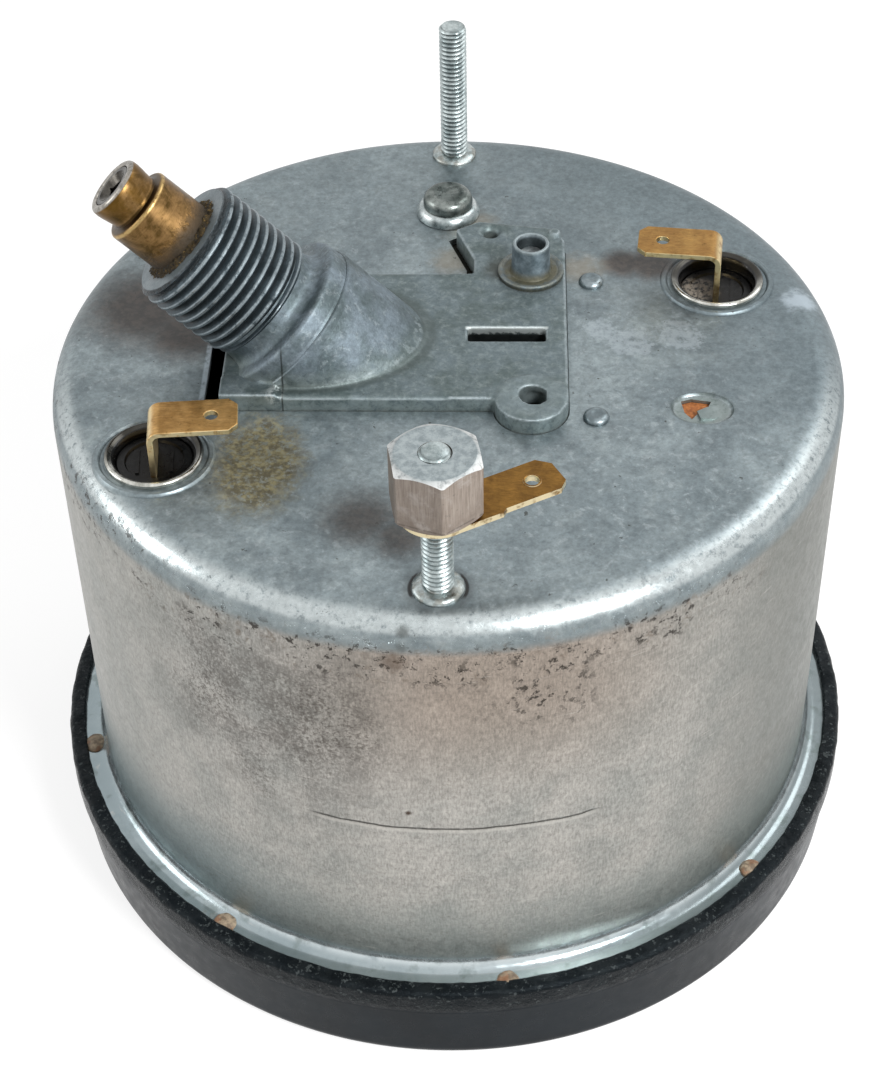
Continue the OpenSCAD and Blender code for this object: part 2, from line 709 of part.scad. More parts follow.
// Inside flange of the casting, riveted and screwed to the can's back
module base_outline() {
  translate([plate_x0 + 2, -rivet_xy[1] - 4]) square([rivet_xy[0] + 4 - plate_x0 - 2, 2 * rivet_xy[1] + 8]);
  translate([back_screw_xy[0] - 6, 0]) square([12, back_screw_xy[1]]);
  translate(back_screw_xy) circle(6);
  translate([x_ear(), plate_y1]) square([plate_x1 - x_ear(), 11]);
}
function x_ear() = plate_x1 - 15;

// Die-cast frame: plate, elbow with the cable thread, reset boss and pillars
module frame_casting() {
  color("#7d8585") difference() {
    union() {
      translate([0, 0, base_z]) linear_extrude(plate_top - base_z) plate_outline();
      translate([0, 0, base_z]) linear_extrude(base_t) base_outline();
      intersection() {
        on_drive(-apex_s) cylinder(r = elbow_r, h = apex_s - elbow_start);
        translate([plate_x0, -50, base_z]) cube([100, 100, 100]);
      }
      on_drive(-bevel_face_s + 1.4) cylinder(r = spindle_r + 3.2, h = bevel_face_s - elbow_start - 4);
      on_drive(-elbow_start - eps) cylinder(r = thread_r - thread_depth * 0.5, h = elbow_start - thread_len + eps * 2);
      on_drive(-thread_len) thread_rings(thread_r, thread_depth, thread_pitch, thread_len);
      translate([reset_xy[0], reset_xy[1], plate_top - eps]) {
        cylinder(r = reset_flange_r, h = 0.8);
        cylinder(r = reset_boss_r, h = reset_h - plate_h);
      }
      translate([plate_x1 - 1.5, plate_y1 + 9.4, plate_top - eps]) cylinder(r = 0.9, h = 0.5);
      four_pillars() translate([0, 0, mplate_top]) cylinder(r = pillar_r, h = base_z - mplate_top + eps);
    }
    on_drive(-sleeve_in) cylinder(r = sleeve_r, h = sleeve_in + 5);
    on_drive(-apex_s) cylinder(r = spindle_r + run_gap, h = apex_s);
    on_drive(-apex_s) cylinder(r = pocket_r, h = apex_s - bevel_face_s + 0.8);
    translate([0, 0, base_z - 20]) cylinder(r = pocket_r, h = rear_bush_z - base_z + 20);
    translate([0, 0, rear_bush_z - eps]) cylinder(r = rear_bush_r, h = rear_bush_h + eps);
    translate([slot_xy[0] - slot_size[0] / 2, slot_xy[1] - slot_size[1] / 2, base_z - 1])
      cube([slot_size[0], slot_size[1], 20]);
    translate([lug_xy[0] + 0.35, lug_xy[1] + 0.6, base_z - 1]) intersection() {
      cylinder(r = lug_hole_r, h = 20);
      translate([-lug_hole_r - 0.4, -lug_hole_r, 0]) cube([2 * lug_hole_r, 2 * lug_hole_r, 20]);
    }
    translate([reset_xy[0], reset_xy[1], base_z - 1]) cylinder(r = reset_r + run_gap, h = 30);
    translate([x_ear() + 4.4, plate_y1 + 9.9, plate_top - 3]) cylinder(r = 1, h = 4);
    translate([x_ear() + 4.4, plate_y1 + 9.9, plate_top - 0.5]) cylinder(r1 = 1, r2 = 1.6, h = 0.5 + eps);
    mirror_y() translate([rivet_xy[0], rivet_xy[1], base_z - 1]) cylinder(r = rivet_r * 0.7, h = base_t + 2);
    translate([back_screw_xy[0], back_screw_xy[1], base_z - 1]) cylinder(r = screw_r, h = base_t + 2);
    four_pillars() translate([0, 0, mplate_top - 1]) cylinder(r = screw_r, h = pillar_bite + 2);
  }
}

// Die-cast plate that carries the counters, layshaft, bridge and dial
module movement_plate() {
  color("#8f9496") difference() {
    union() {
      translate([0, 0, mplate_z]) linear_extrude(mplate_t) {
        circle(r = max(norm(pillar_xy) + pillar_r, trip_y + 6));
        translate([-dial_screw_x - 3, -5]) square([2 * dial_screw_x + 6, 10]);
      }
      for (s = [-1, 1]) {
        translate([s * dial_screw_x, 0, dial_back]) cylinder(r = 2.6, h = mplate_z - dial_back + eps);
        translate([s * bridge_x, 0, bridge_top]) cylinder(r = bridge_post_r, h = mplate_z - bridge_top + eps);
        translate([lay_x - 3, s * lay_bracket_y - 1, lay_z - 3]) cube([6, 2, mplate_z - lay_z + 3 + eps]);
        for (y = [counter_y, trip_y]) translate([s * bracket_x - bracket_t / 2, y - 3, drum_z - 3])
          cube([bracket_t, 6, mplate_z - drum_z + 3 + eps]);
      }
    }
    translate([0, 0, mplate_z - 1]) cylinder(r = magnet_spindle_r + 2, h = mplate_t + 2);
    translate([reset_xy[0], reset_xy[1], mplate_z - 1]) cylinder(r = reset_r + run_gap, h = mplate_t + 2);
    four_pillars() translate([0, 0, mplate_z - 1]) cylinder(r = screw_r + slide_gap, h = mplate_t + 2);
    for (s = [-1, 1]) {
      translate([s * dial_screw_x, 0, dial_back - 1]) cylinder(r = screw_r, h = 8);
      translate([s * bridge_x, 0, bridge_top - 1]) cylinder(r = screw_r, h = bridge_bite + 2);
    }
    translate([lay_x, 0, lay_z]) rotate([90, 0, 0]) cylinder(r = shaft_r + run_gap, h = lay_len, center = true);
    translate([0, trip_y, drum_z]) rotate([0, 90, 0]) cylinder(r = shaft_r + run_gap, h = 60, center = true);
    translate([0, counter_y, drum_z]) rotate([0, 90, 0]) cylinder(r = shaft_r, h = 60, center = true);
  }
}

module movement_screws() {
  color("silver") four_pillars() {
    translate([0, 0, mplate_z - screw_head_h]) cylinder(r = screw_head_r, h = screw_head_h);
    translate([0, 0, mplate_z - eps]) cylinder(r = screw_r, h = mplate_t + pillar_bite);
  }
}

// Brass sleeve with its grooved nose in the end of the boss
module drive_sleeve() {
  end = sleeve_out + nose_len;
  profile = [[spindle_r + run_gap, -sleeve_in], [sleeve_r, -sleeve_in], [sleeve_r, sleeve_out - 0.5],
             [sleeve_r - 0.5, sleeve_out], [nose_r - 0.3, sleeve_out], [nose_r - 0.3, sleeve_out + 0.7],
             [nose_r, sleeve_out + 1], [nose_r, end - 0.7], [nose_r - 0.6, end], [spindle_r + run_gap, end]];
  color("#a9762f") on_drive(0) rotate_extrude() polygon(profile);
}

// Steel spindle with a square socket for the cable's end
module input_spindle() {
  top = sleeve_out + nose_len - 0.4;
  color("#8a8c90") on_drive(0) difference() {
    translate([0, 0, -bevel_face_s - bevel_w]) cylinder(r = spindle_r, h = top + bevel_face_s + bevel_w);
    translate([-socket_w / 2, -socket_w / 2, top - socket_depth]) cube([socket_w, socket_w, socket_depth + 1]);
    translate([0, 0, top - 0.8]) cylinder(r1 = socket_w * 0.6, r2 = spindle_r - 0.5, h = 0.8 + eps);
  }
}

module input_gear() {
  color("#b5a36a") on_drive(-bevel_face_s) mirror([0, 0, 1]) bevel(spindle_r);
}

// Layshaft along Y with a worm for each counter
module layshaft() {
  color("#9a9da2") translate([lay_x, 0, lay_z]) rotate([-90, 0, 0]) {
    cylinder(r = shaft_r, h = lay_len, center = true);
    for (y = [counter_y, trip_y]) translate([0, 0, y]) rotate(90) worm(count_m, count_worm_r, 4, 0.1);
  }
}

module layshaft_wheel() {
  color("#b08d57") translate([lay_x, 0, lay_z]) rotate([-90, 0, 0]) wheel(lay_teeth, lay_m, lay_wheel_w, shaft_r, 0.26);
}

module shaft_x(y, r, len) {
  translate([0, y, drum_z]) rotate([0, 90, 0]) cylinder(r = r, h = len, center = true);
}

module counter_shaft() {
  color("silver") shaft_x(counter_y, shaft_r, 2 * bracket_x + bracket_t + 2);
}

module trip_shaft() {
  color("silver") union() {
    shaft_x(trip_y, shaft_r, 2 * bracket_x + bracket_t + 2);
    for (s = [-1, 1]) translate([s * (bracket_x + bracket_t / 2 + 0.6), trip_y, drum_z]) rotate([0, 90, 0])
      cylinder(r = shaft_r + 0.8, h = 0.6, center = true);
  }
}

module reset_wheel() {
  color("#b08d57") translate([reset_xy[0], trip_y, drum_z]) rotate([0, 90, 0]) rotate(-90)
    wheel(reset_teeth, reset_m, reset_wheel_w, shaft_r, 0.2);
}

// Spindle from the reset boss to the trip counter's reset wheel
module reset_spindle() {
  top = back_z + reset_h - 1.8;
  bottom = drum_z - PI * reset_m * 2.4;
  color("#a5a8ad") translate([reset_xy[0], reset_xy[1], 0]) difference() {
    union() {
      translate([0, 0, bottom]) cylinder(r = reset_r, h = top - bottom);
      translate([0, 0, drum_z]) rotate(90) worm(reset_m, reset_worm_r, 3, 0.12);
      translate([0, 0, mplate_z - 0.9]) cylinder(r = reset_r + 0.9, h = 0.6);
    }
    translate([-2, -0.35, top - 1.2]) cube([4, 0.7, 2]);
  }
}

// One number drum; the first of a counter carries its wheel
module drum(y, i, pitch) {
  x = drum_x0 + (i - 1) * pitch;
  color("#e8e6de") translate([x, y, drum_z]) rotate([0, 90, 0]) difference() {
    union() {
      cylinder(r = drum_r, h = pitch - drum_gap);
      if (i == 1) translate([0, 0, lay_x - drum_x0]) rotate(180)
        wheel(count_teeth, count_m, count_wheel_w, shaft_r + run_gap, 0.14);
      if (i == 1) translate([0, 0, -drum_gap - 0.5]) cylinder(r = count_r - 1, h = 1);
    }
    translate([0, 0, -5]) cylinder(r = shaft_r + run_gap, h = pitch + 10);
  }
}

// Threaded stud with a shoulder on the back and a riveted head inside
module stud(y, h) {
  color("#b4b8bb") translate([0, y, 0]) {
    translate([0, 0, inner_z - 1.2]) cylinder(r = stud_head_r, h = 1.2);
    translate([0, 0, inner_z - eps]) cylinder(r = stud_shank_r, h = case_wall + eps * 2);
    translate([0, 0, back_z]) cylinder(r1 = shoulder_r, r2 = shoulder_r - 0.4, h = shoulder_t);
    translate([0, 0, back_z + shoulder_t - eps]) thread_rings(stud_r, stud_pitch * 0.5, stud_pitch, h - shoulder_t - 0.6);
    translate([0, 0, back_z + h - 0.6 - eps * 2]) cylinder(r1 = stud_r - stud_pitch * 0.5, r2 = stud_r - 0.6, h = 0.6);
  }
}

module near_stud() {
  stud(-stud_y, near_stud_h);
}

module far_stud() {
  stud(stud_y, far_stud_h);
}

// Hexagon nut with chamfered ends and the spigot that holds the tag
module earth_nut() {
  corner_r = nut_af / 2 / cos(30);
  chamfer = corner_r - nut_af / 2 + 0.1;
  color("#aaa6a6") translate([0, -stud_y, nut_bottom]) difference() {
    union() {
      intersection() {
        rotate(40) cylinder(r = corner_r, h = nut_h, $fn = 6);
        rotate_extrude() polygon([[0, 0], [nut_af / 2 - 0.1, 0], [corner_r + 0.1, chamfer * 0.7],
          [corner_r + 0.1, nut_h - chamfer * 0.7], [nut_af / 2 - 0.1, nut_h], [0, nut_h]]);
      }
      translate([0, 0, -blade_t - 0.3]) cylinder(r = spigot_r, h = blade_t + 0.3 + eps);
      translate([0, 0, -blade_t - 0.7]) cylinder(r = spigot_r + 0.5, h = 0.4 + eps);
    }
    translate([0, 0, -3]) cylinder(r = stud_r + run_gap, h = nut_h + 5);
  }
}

// Brass earth tag: an eye round the nut's spigot and a flat blade
module earth_tag() {
  color("#c79a43") translate([0, -stud_y, tag_z]) rotate(tag_angle) difference() {
    linear_extrude(blade_t) {
      circle(r = spigot_r + 1.5);
      translate([0, -blade_w / 2 - 1.4]) polygon([[0, 0], [tag_len - 1, 0], [tag_len, 1], [tag_len, blade_w - 1.5],
        [tag_len - 1.5, blade_w], [0, blade_w]]);
    }
    translate([0, 0, -1]) cylinder(r = spigot_r + slide_gap, h = 3);
    translate([tag_len - 3.6, -1.4, -1]) cylinder(r = 0.9, h = 3);
  }
}

// Half-round rivets that hold the casting's base flange to the back
module frame_rivets() {
  head_h = 0.8;
  ball_r = (rivet_r * rivet_r + head_h * head_h) / (2 * head_h);
  color("#a9adb0") mirror_y() translate([rivet_xy[0], rivet_xy[1], 0]) {
    translate([0, 0, back_z]) intersection() {
      translate([0, 0, head_h - ball_r]) sphere(ball_r);
      cylinder(r = rivet_r, h = head_h);
    }
    translate([0, 0, base_z - 0.4]) cylinder(r = rivet_r * 0.7, h = back_z - base_z + 0.4 + eps);
    translate([0, 0, base_z - 0.8]) cylinder(r = rivet_r, h = 0.8);
  }
}

module back_washer() {
  color("#a3a7aa") translate([back_screw_xy[0], back_screw_xy[1], back_z]) difference() {
    union() {
      cylinder(r = back_washer_r, h = 0.8);
      translate([0, 0, 0.8 - eps]) cylinder(r1 = back_washer_r, r2 = back_washer_r - 0.6, h = 0.4);
    }
    translate([0, 0, -1]) cylinder(r = screw_r + slide_gap, h = 4);
  }
}

module back_screw() {
  color("#9ea2a5") translate([back_screw_xy[0], back_screw_xy[1], back_z]) {
    translate([0, 0, 1.2 - eps]) cylinder(r = back_screw_r, h = 1.9);
    translate([0, 0, 3.1 - eps * 2]) cylinder(r1 = back_screw_r, r2 = back_screw_r - 0.4, h = 0.4);
    translate([0, 0, -case_wall - base_t]) cylinder(r = screw_r, h = case_wall + base_t + 1.2);
  }
}

// Plated shell of a lamp holder, open at the bulb's end
module lamp_shell(c) {
  color("#d5d8da") translate([c[0], c[1], 0]) difference() {
    union() {
      translate([0, 0, back_z - lamp_depth]) cylinder(r = lamp_shell_r, h = lamp_depth + eps);
      translate([0, 0, back_z]) cylinder(r1 = lamp_rim_r, r2 = lamp_rim_r - 0.3, h = 0.8);
    }
    translate([0, 0, back_z - lamp_depth - 1]) cylinder(r = lamp_shell_r - lamp_wall, h = lamp_depth + 3);
  }
}

// Moulded disc that carries the blade
module lamp_insulator(c, angle) {
  color("#18181a") translate([c[0], c[1], 0]) difference() {
    translate([0, 0, back_z - 3]) cylinder(r = lamp_shell_r - lamp_wall, h = 2.6);
    rotate(angle) translate([-blade_t / 2, -blade_w / 2, back_z - 4]) cube([blade_t, blade_w, 5]);
  }
}

// Brass blade: a leg out of the insulator, bent flat over the back
module lamp_blade(c, angle) {
  bend_r = 1;
  top = blade_h;
  outline = concat([[blade_t / 2, -4.5], [-blade_t / 2, -4.5]],
    arc([bend_r + blade_t / 2, top - bend_r - blade_t], bend_r + blade_t, 180, 90, 6),
    [[blade_len, top], [blade_len, top - blade_t]],
    arc([bend_r + blade_t / 2, top - bend_r - blade_t], bend_r, 90, 180, 6));
  color("#c79a43") translate([c[0], c[1], back_z]) rotate(angle) difference() {
    translate([0, blade_w / 2, 0]) rotate([90, 0, 0]) linear_extrude(blade_w) polygon(outline);
    translate([blade_len - 3.4, 0, top - 3]) cylinder(r = 0.9, h = 5);
    for (s = [-1, 1]) translate([blade_len, s * blade_w / 2, top]) rotate(45) cube([1.6, 1.6, 4], center = true);
  }
}

// Bayonet bulb under the insulator
module lamp_bulb(c) {
  cap_r = lamp_shell_r - lamp_wall - 0.25;
  glass_bulb_r = 4.2;
  tip_z = back_z - lamp_depth - 8;
  color("#f0e6c8") translate([c[0], c[1], 0]) {
    translate([0, 0, back_z - lamp_depth - 1]) cylinder(r = cap_r, h = lamp_depth - 3.5);
    translate([0, 0, tip_z]) cylinder(r = glass_bulb_r, h = 7 + eps);
    translate([0, 0, tip_z]) sphere(glass_bulb_r);
  }
}

case();
bezel();
front_gasket();
glass();
rear_gasket();
shroud();
dial();
dial_screws();
stop_pin();
pointer();
pointer_hub();
pointer_staff();
speed_cup();
hairspring();
pointer_bridge();
bridge_screws();
magnet_spindle();
magnet();
flux_ring();
magnet_gear();
rear_bush();
front_bush();
frame_casting();
movement_plate();
movement_screws();
drive_sleeve();
input_spindle();
input_gear();
layshaft();
layshaft_wheel();
counter_shaft();
trip_shaft();
reset_wheel();
reset_spindle();
near_stud();
far_stud();
earth_nut();
earth_tag();
frame_rivets();
back_screw();
back_washer();
lamp_shell(left_lamp_xy);  // left_lamp_shell
lamp_insulator(left_lamp_xy, left_blade_angle);  // left_lamp_insulator
lamp_blade(left_lamp_xy, left_blade_angle);  // left_lamp_blade
lamp_bulb(left_lamp_xy);  // left_lamp_bulb
lamp_shell(right_lamp_xy);  // right_lamp_shell
lamp_insulator(right_lamp_xy, right_blade_angle);  // right_lamp_insulator
lamp_blade(right_lamp_xy, right_blade_angle);  // right_lamp_blade
lamp_bulb(right_lamp_xy);  // right_lamp_bulb
for (i = [1:drum_count]) drum(counter_y, i, drum_pitch);
for (i = [1:trip_count]) drum(trip_y, i, trip_pitch);
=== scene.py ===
"""Looks of a vintage magnetic speedometer that lies face down on its bezel."""

import math

import bmesh
import bpy
from mathutils import Matrix, Vector, noise


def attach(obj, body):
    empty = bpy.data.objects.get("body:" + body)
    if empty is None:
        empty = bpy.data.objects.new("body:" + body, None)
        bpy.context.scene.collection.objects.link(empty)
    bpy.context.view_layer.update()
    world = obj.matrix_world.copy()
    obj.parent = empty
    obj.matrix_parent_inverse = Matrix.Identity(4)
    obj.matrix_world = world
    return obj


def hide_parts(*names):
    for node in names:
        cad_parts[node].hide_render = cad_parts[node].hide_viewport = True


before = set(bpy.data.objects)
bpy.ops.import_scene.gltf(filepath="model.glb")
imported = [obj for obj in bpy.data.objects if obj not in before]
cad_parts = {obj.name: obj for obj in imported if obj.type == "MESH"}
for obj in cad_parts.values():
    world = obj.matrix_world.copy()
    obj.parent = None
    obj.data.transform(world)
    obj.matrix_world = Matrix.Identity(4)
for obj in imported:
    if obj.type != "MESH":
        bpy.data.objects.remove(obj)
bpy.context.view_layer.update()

# Sizes in millimetres, in the frame of the solids
MM = 0.001
MERGE = 1e-4
COARSE_MERGE = 1e-3
TURN = 2 * math.pi
BACK = 81.5
CAN_R = 54
SHEET = 1
ROUND = 4.5
FLANGE_R = 58.1
FLANGE_Z = 14
PLATE_TOP = 83.75
PLATE_LEFT = -29.8
ELBOW_LEFT = -22.6
SPLIT_Z = 80.45
DRIVE_END = Vector((-34.6, 0, 99.35))
DRIVE_TILT = math.radians(-44.5)
DRIVE = Matrix.Translation(DRIVE_END) @ Matrix.Rotation(DRIVE_TILT, 4, "Y")
STUD_Y = 47.1
STUD_R = 2
STUD_PITCH = 0.7
LAMPS = {"left": (-37.391, -23.003, 5), "right": (37.578, 15.106, 174)}
BLADE_W = 6.3
BLADE_T = 0.8
BLADE_HOLE_R = 0.9
TAG_TURN = 29
RESET_XY = (11.4, 14.1)
LUG_XY = (11.4, -13.4)
SCREW_XY = (-0.6, 32)
RIVETS = ((19.9, 14.9), (19.9, -14.9))
SPARE_HOLE = (33.9, -12.8)
SPARE_OVAL = 1.28
STAIN_TURN = -12
DIAL_Z = 14
INK = 0.04

# Levels of the stage
FLOOR_GREY = 0.3
FLOOR_GLOW = 0.8
ROOM_LIGHT = 0.42


def spin_deg(degrees, axis="Z"):
    return Matrix.Rotation(math.radians(degrees), 4, axis)


def shift(x=0, y=0, z=0):
    return Matrix.Translation((x, y, z))


def polar(degrees, radius, height):
    a = math.radians(degrees)
    return (radius * math.cos(a), radius * math.sin(a), height)


def on_can(degrees, height):
    """A place on the can's side."""
    return polar(degrees, CAN_R, height)


def arc(centre, radius, start, end, parts):
    """Points on an arc, angles in degrees."""
    points = []
    for i in range(parts + 1):
        x, y, _ = polar(start + (end - start) * i / parts, radius, 0)
        points.append((centre[0] + x, centre[1] + y))
    return points


def tidy_mesh(bm, merge=MERGE):
    bmesh.ops.remove_doubles(bm, verts=bm.verts, dist=merge)
    bmesh.ops.dissolve_degenerate(bm, dist=merge, edges=bm.edges)
    bmesh.ops.recalc_face_normals(bm, faces=bm.faces)
    return bm


def spun_line(outline, closed, **spin):
    """Spins a line through points of (radius, height) round the Z axis."""
    bm = bmesh.new()
    verts = [bm.verts.new((r, 0, z)) for r, z in outline]
    edges = [bm.edges.new(pair) for pair in zip(verts, verts[1:])]
    if closed:
        edges.append(bm.edges.new((verts[-1], verts[0])))
    bmesh.ops.spin(bm, geom=verts + edges, cent=(0, 0, 0), axis=(0, 0, 1), **spin)
    return bm


def moved(bm, place):
    bmesh.ops.transform(bm, matrix=place, verts=bm.verts)
    return bm


def lathe(outline, steps=96, place=None):
    """A turned body; an outline that starts on the axis also ends there."""
    closed = outline[0][0] > 0
    bm = tidy_mesh(spun_line(outline, closed, angle=TURN, steps=steps, use_merge=True))
    return moved(bm, place) if place else bm


def raised(bm, faces, height):
    """Extrudes flat faces upwards."""
    grown = bmesh.ops.extrude_face_region(bm, geom=faces)["geom"]
    top = [v for v in grown if isinstance(v, bmesh.types.BMVert)]
    bmesh.ops.translate(bm, verts=top, vec=(0, 0, height))
    return bm


def prism(outline, low, high):
    """Raises a flat outline of (x, y) from one height to another."""
    bm = bmesh.new()
    base = bm.faces.new([bm.verts.new((x, y, low)) for x, y in outline])
    return tidy_mesh(raised(bm, [base], high - low))


def block(left, right, near, far, low, high):
    return prism([(left, near), (right, near), (right, far), (left, far)], low, high)


def rod(radius, low, high, steps=48, place=None):
    return lathe([(0, low), (radius, low), (radius, high), (0, high)], steps, place)


def widen(v, factor):
    """Moves a point away from the Z axis, or towards it."""
    v.co.x *= factor
    v.co.y *= factor


def joined(*parts):
    """Several closed shells in one mesh."""
    whole = bmesh.new()
    for bm in parts:
        mesh = bpy.data.meshes.new("work")
        bm.to_mesh(mesh)
        bm.free()
        whole.from_mesh(mesh)
        bpy.data.meshes.remove(mesh)
    return whole


def worked(bm, *steps, other=None):
    """Runs modifiers on a mesh and returns the result; a step is (type, settings)."""
    objects = []
    for source in (bm, other):
        if source is None:
            continue
        mesh = bpy.data.meshes.new("work")
        source.to_mesh(mesh)
        source.free()
        obj = bpy.data.objects.new("work", mesh)
        bpy.context.scene.collection.objects.link(obj)
        objects.append(obj)
    for kind, settings in steps:
        modifier = objects[0].modifiers.new(kind, kind)
        for key, value in settings.items():
            setattr(modifier, key, value)
        if kind == "BOOLEAN":
            modifier.object = objects[1]
    bpy.context.view_layer.update()
    done = objects[0].evaluated_get(bpy.context.evaluated_depsgraph_get())
    mesh = bpy.data.meshes.new_from_object(done)
    result = bmesh.new()
    result.from_mesh(mesh)
    bpy.data.meshes.remove(mesh)
    for obj in objects:
        old = obj.data
        bpy.data.objects.remove(obj)
        bpy.data.meshes.remove(old)
    return result


def combine(first, second, operation):
    """Joins or cuts two closed meshes; repeats with a hair's shift if the volume can't be right."""
    one, two = abs(first.calc_volume()), abs(second.calc_volume())
    for nudge in (0, 0.0007, -0.0011, 0.0019):
        tool = second.copy()
        bmesh.ops.translate(tool, verts=tool.verts, vec=(nudge, nudge, nudge))
        step = ("BOOLEAN", {"operation": operation, "solver": "EXACT"})
        result = worked(first.copy(), step, other=tool)
        volume = abs(result.calc_volume())
        if operation == "UNION" and max(one, two) * 0.999 < volume < (one + two) * 1.001:
            break
        if operation == "DIFFERENCE" and (one - two) * 0.999 < volume < one * 0.99999:
            break
    first.free()
    second.free()
    return result


def cut(bm, *tools):
    for tool in tools:
        bm = combine(bm, tool, "DIFFERENCE")
    return bm


def add(bm, *parts):
    for part in parts:
        bm = combine(bm, part, "UNION")
    return bm


def round_edges(bm, width):
    """Bevels every edge that is sharper than 40 degrees."""
    limit = math.radians(40)
    bmesh.ops.dissolve_limit(bm, angle_limit=math.radians(0.5), verts=bm.verts, edges=bm.edges)
    sharp = [e for e in bm.edges if len(e.link_faces) == 2 and e.calc_face_angle(0) > limit]
    bmesh.ops.bevel(bm, geom=sharp, offset=width, affect="EDGES", segments=2, profile=0.5,
                    material=-1, clamp_overlap=True)
    return bm


def sliced(bm, point, direction):
    """Drops what lies beyond a plane and leaves the cut open."""
    everything = bm.verts[:] + bm.edges[:] + bm.faces[:]
    bmesh.ops.bisect_plane(bm, geom=everything, dist=MERGE, plane_co=point, plane_no=direction,
                           clear_outer=True)
    return bm


def capped(bm):
    rims = [e for e in bm.edges if e.is_boundary]
    bmesh.ops.holes_fill(bm, edges=rims, sides=0)
    return tidy_mesh(bm)


def clipped(bm, *planes):
    """Keeps what lies behind each plane of (point, direction), closed."""
    for point, direction in planes:
        bm = capped(sliced(bm, point, direction))
    return bm


def screw_thread(radius, depth, pitch, low, high, steps, ends):
    """A closed threaded bar with chamfered ends, from low to high."""
    root = radius - depth
    half = 0.17 * pitch
    middle = pitch / 2
    profile = [(root, 0), (root + depth * 0.15, pitch * 0.07), (radius - depth * 0.12, middle - half),
               (radius, middle - half * 0.45), (radius, middle + half * 0.45),
               (radius - depth * 0.12, middle + half), (root + depth * 0.15, pitch * 0.93), (root, pitch)]
    turns = int((high - low) / pitch) + 3
    bm = spun_line(profile, False, dvec=(0, 0, pitch / steps), angle=TURN * turns, steps=steps * turns)
    bmesh.ops.remove_doubles(bm, verts=bm.verts, dist=COARSE_MERGE)
    bmesh.ops.translate(bm, verts=bm.verts, vec=(0, 0, low - pitch))
    for height, up in ((low, -1), (high, 1)):
        sliced(bm, (0, 0, height), (0, 0, up))
    for v in bm.verts:
        reach = math.hypot(v.co.x, v.co.y)
        limit = radius - depth * 0.9 * max(0, 1 - (high - v.co.z) / ends, 1 - (v.co.z - low) / ends)
        if reach > limit:
            widen(v, limit / reach)
    return capped(bm)


def smoothed(bm, verts, rounds):
    for _ in range(rounds):
        bmesh.ops.smooth_vert(bm, verts=verts, factor=0.5, use_axis_x=True, use_axis_y=True, use_axis_z=True)


def add_piece(name, bm, finish, stands_for=None, sharp=35, place=None, body="case_body"):
    """Makes an object of a mesh in millimetres, finish, body and the node it stands for."""
    if place is not None:
        moved(bm, place)
    tidy_mesh(bm)
    bmesh.ops.scale(bm, vec=(MM, MM, MM), verts=bm.verts)
    mesh = bpy.data.meshes.new(name)
    bm.to_mesh(mesh)
    bm.free()
    mesh.shade_smooth()
    mesh.set_sharp_from_angle(angle=math.radians(sharp))
    mesh.materials.append(finish)
    obj = bpy.data.objects.new(name, mesh)
    bpy.context.scene.collection.objects.link(obj)
    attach(obj, body)
    if stands_for:
        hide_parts(stands_for)


# Finishes


def paint(code):
    """A screen colour such as "#8a9396" as the linear colour a shader takes."""
    channels = []
    for i in (1, 3, 5):
        c = int(code[i:i + 2], 16) / 255
        channels.append(c / 12.92 if c <= 0.04045 else ((c + 0.055) / 1.055) ** 2.4)
    return (*channels, 1)


def feed(tree, socket, value):
    """Links an output to a socket, or sets the socket to a plain value or a screen colour."""
    if isinstance(value, bpy.types.NodeSocket):
        tree.links.new(value, socket)
    else:
        socket.default_value = paint(value) if isinstance(value, str) else value


def new_node(tree, kind, feeds=(), **settings):
    node = tree.nodes.new("ShaderNode" + kind)
    for key, value in settings.items():
        setattr(node, key, value)
    for socket, value in dict(feeds).items():
        feed(tree, node.inputs[socket], value)
    return node


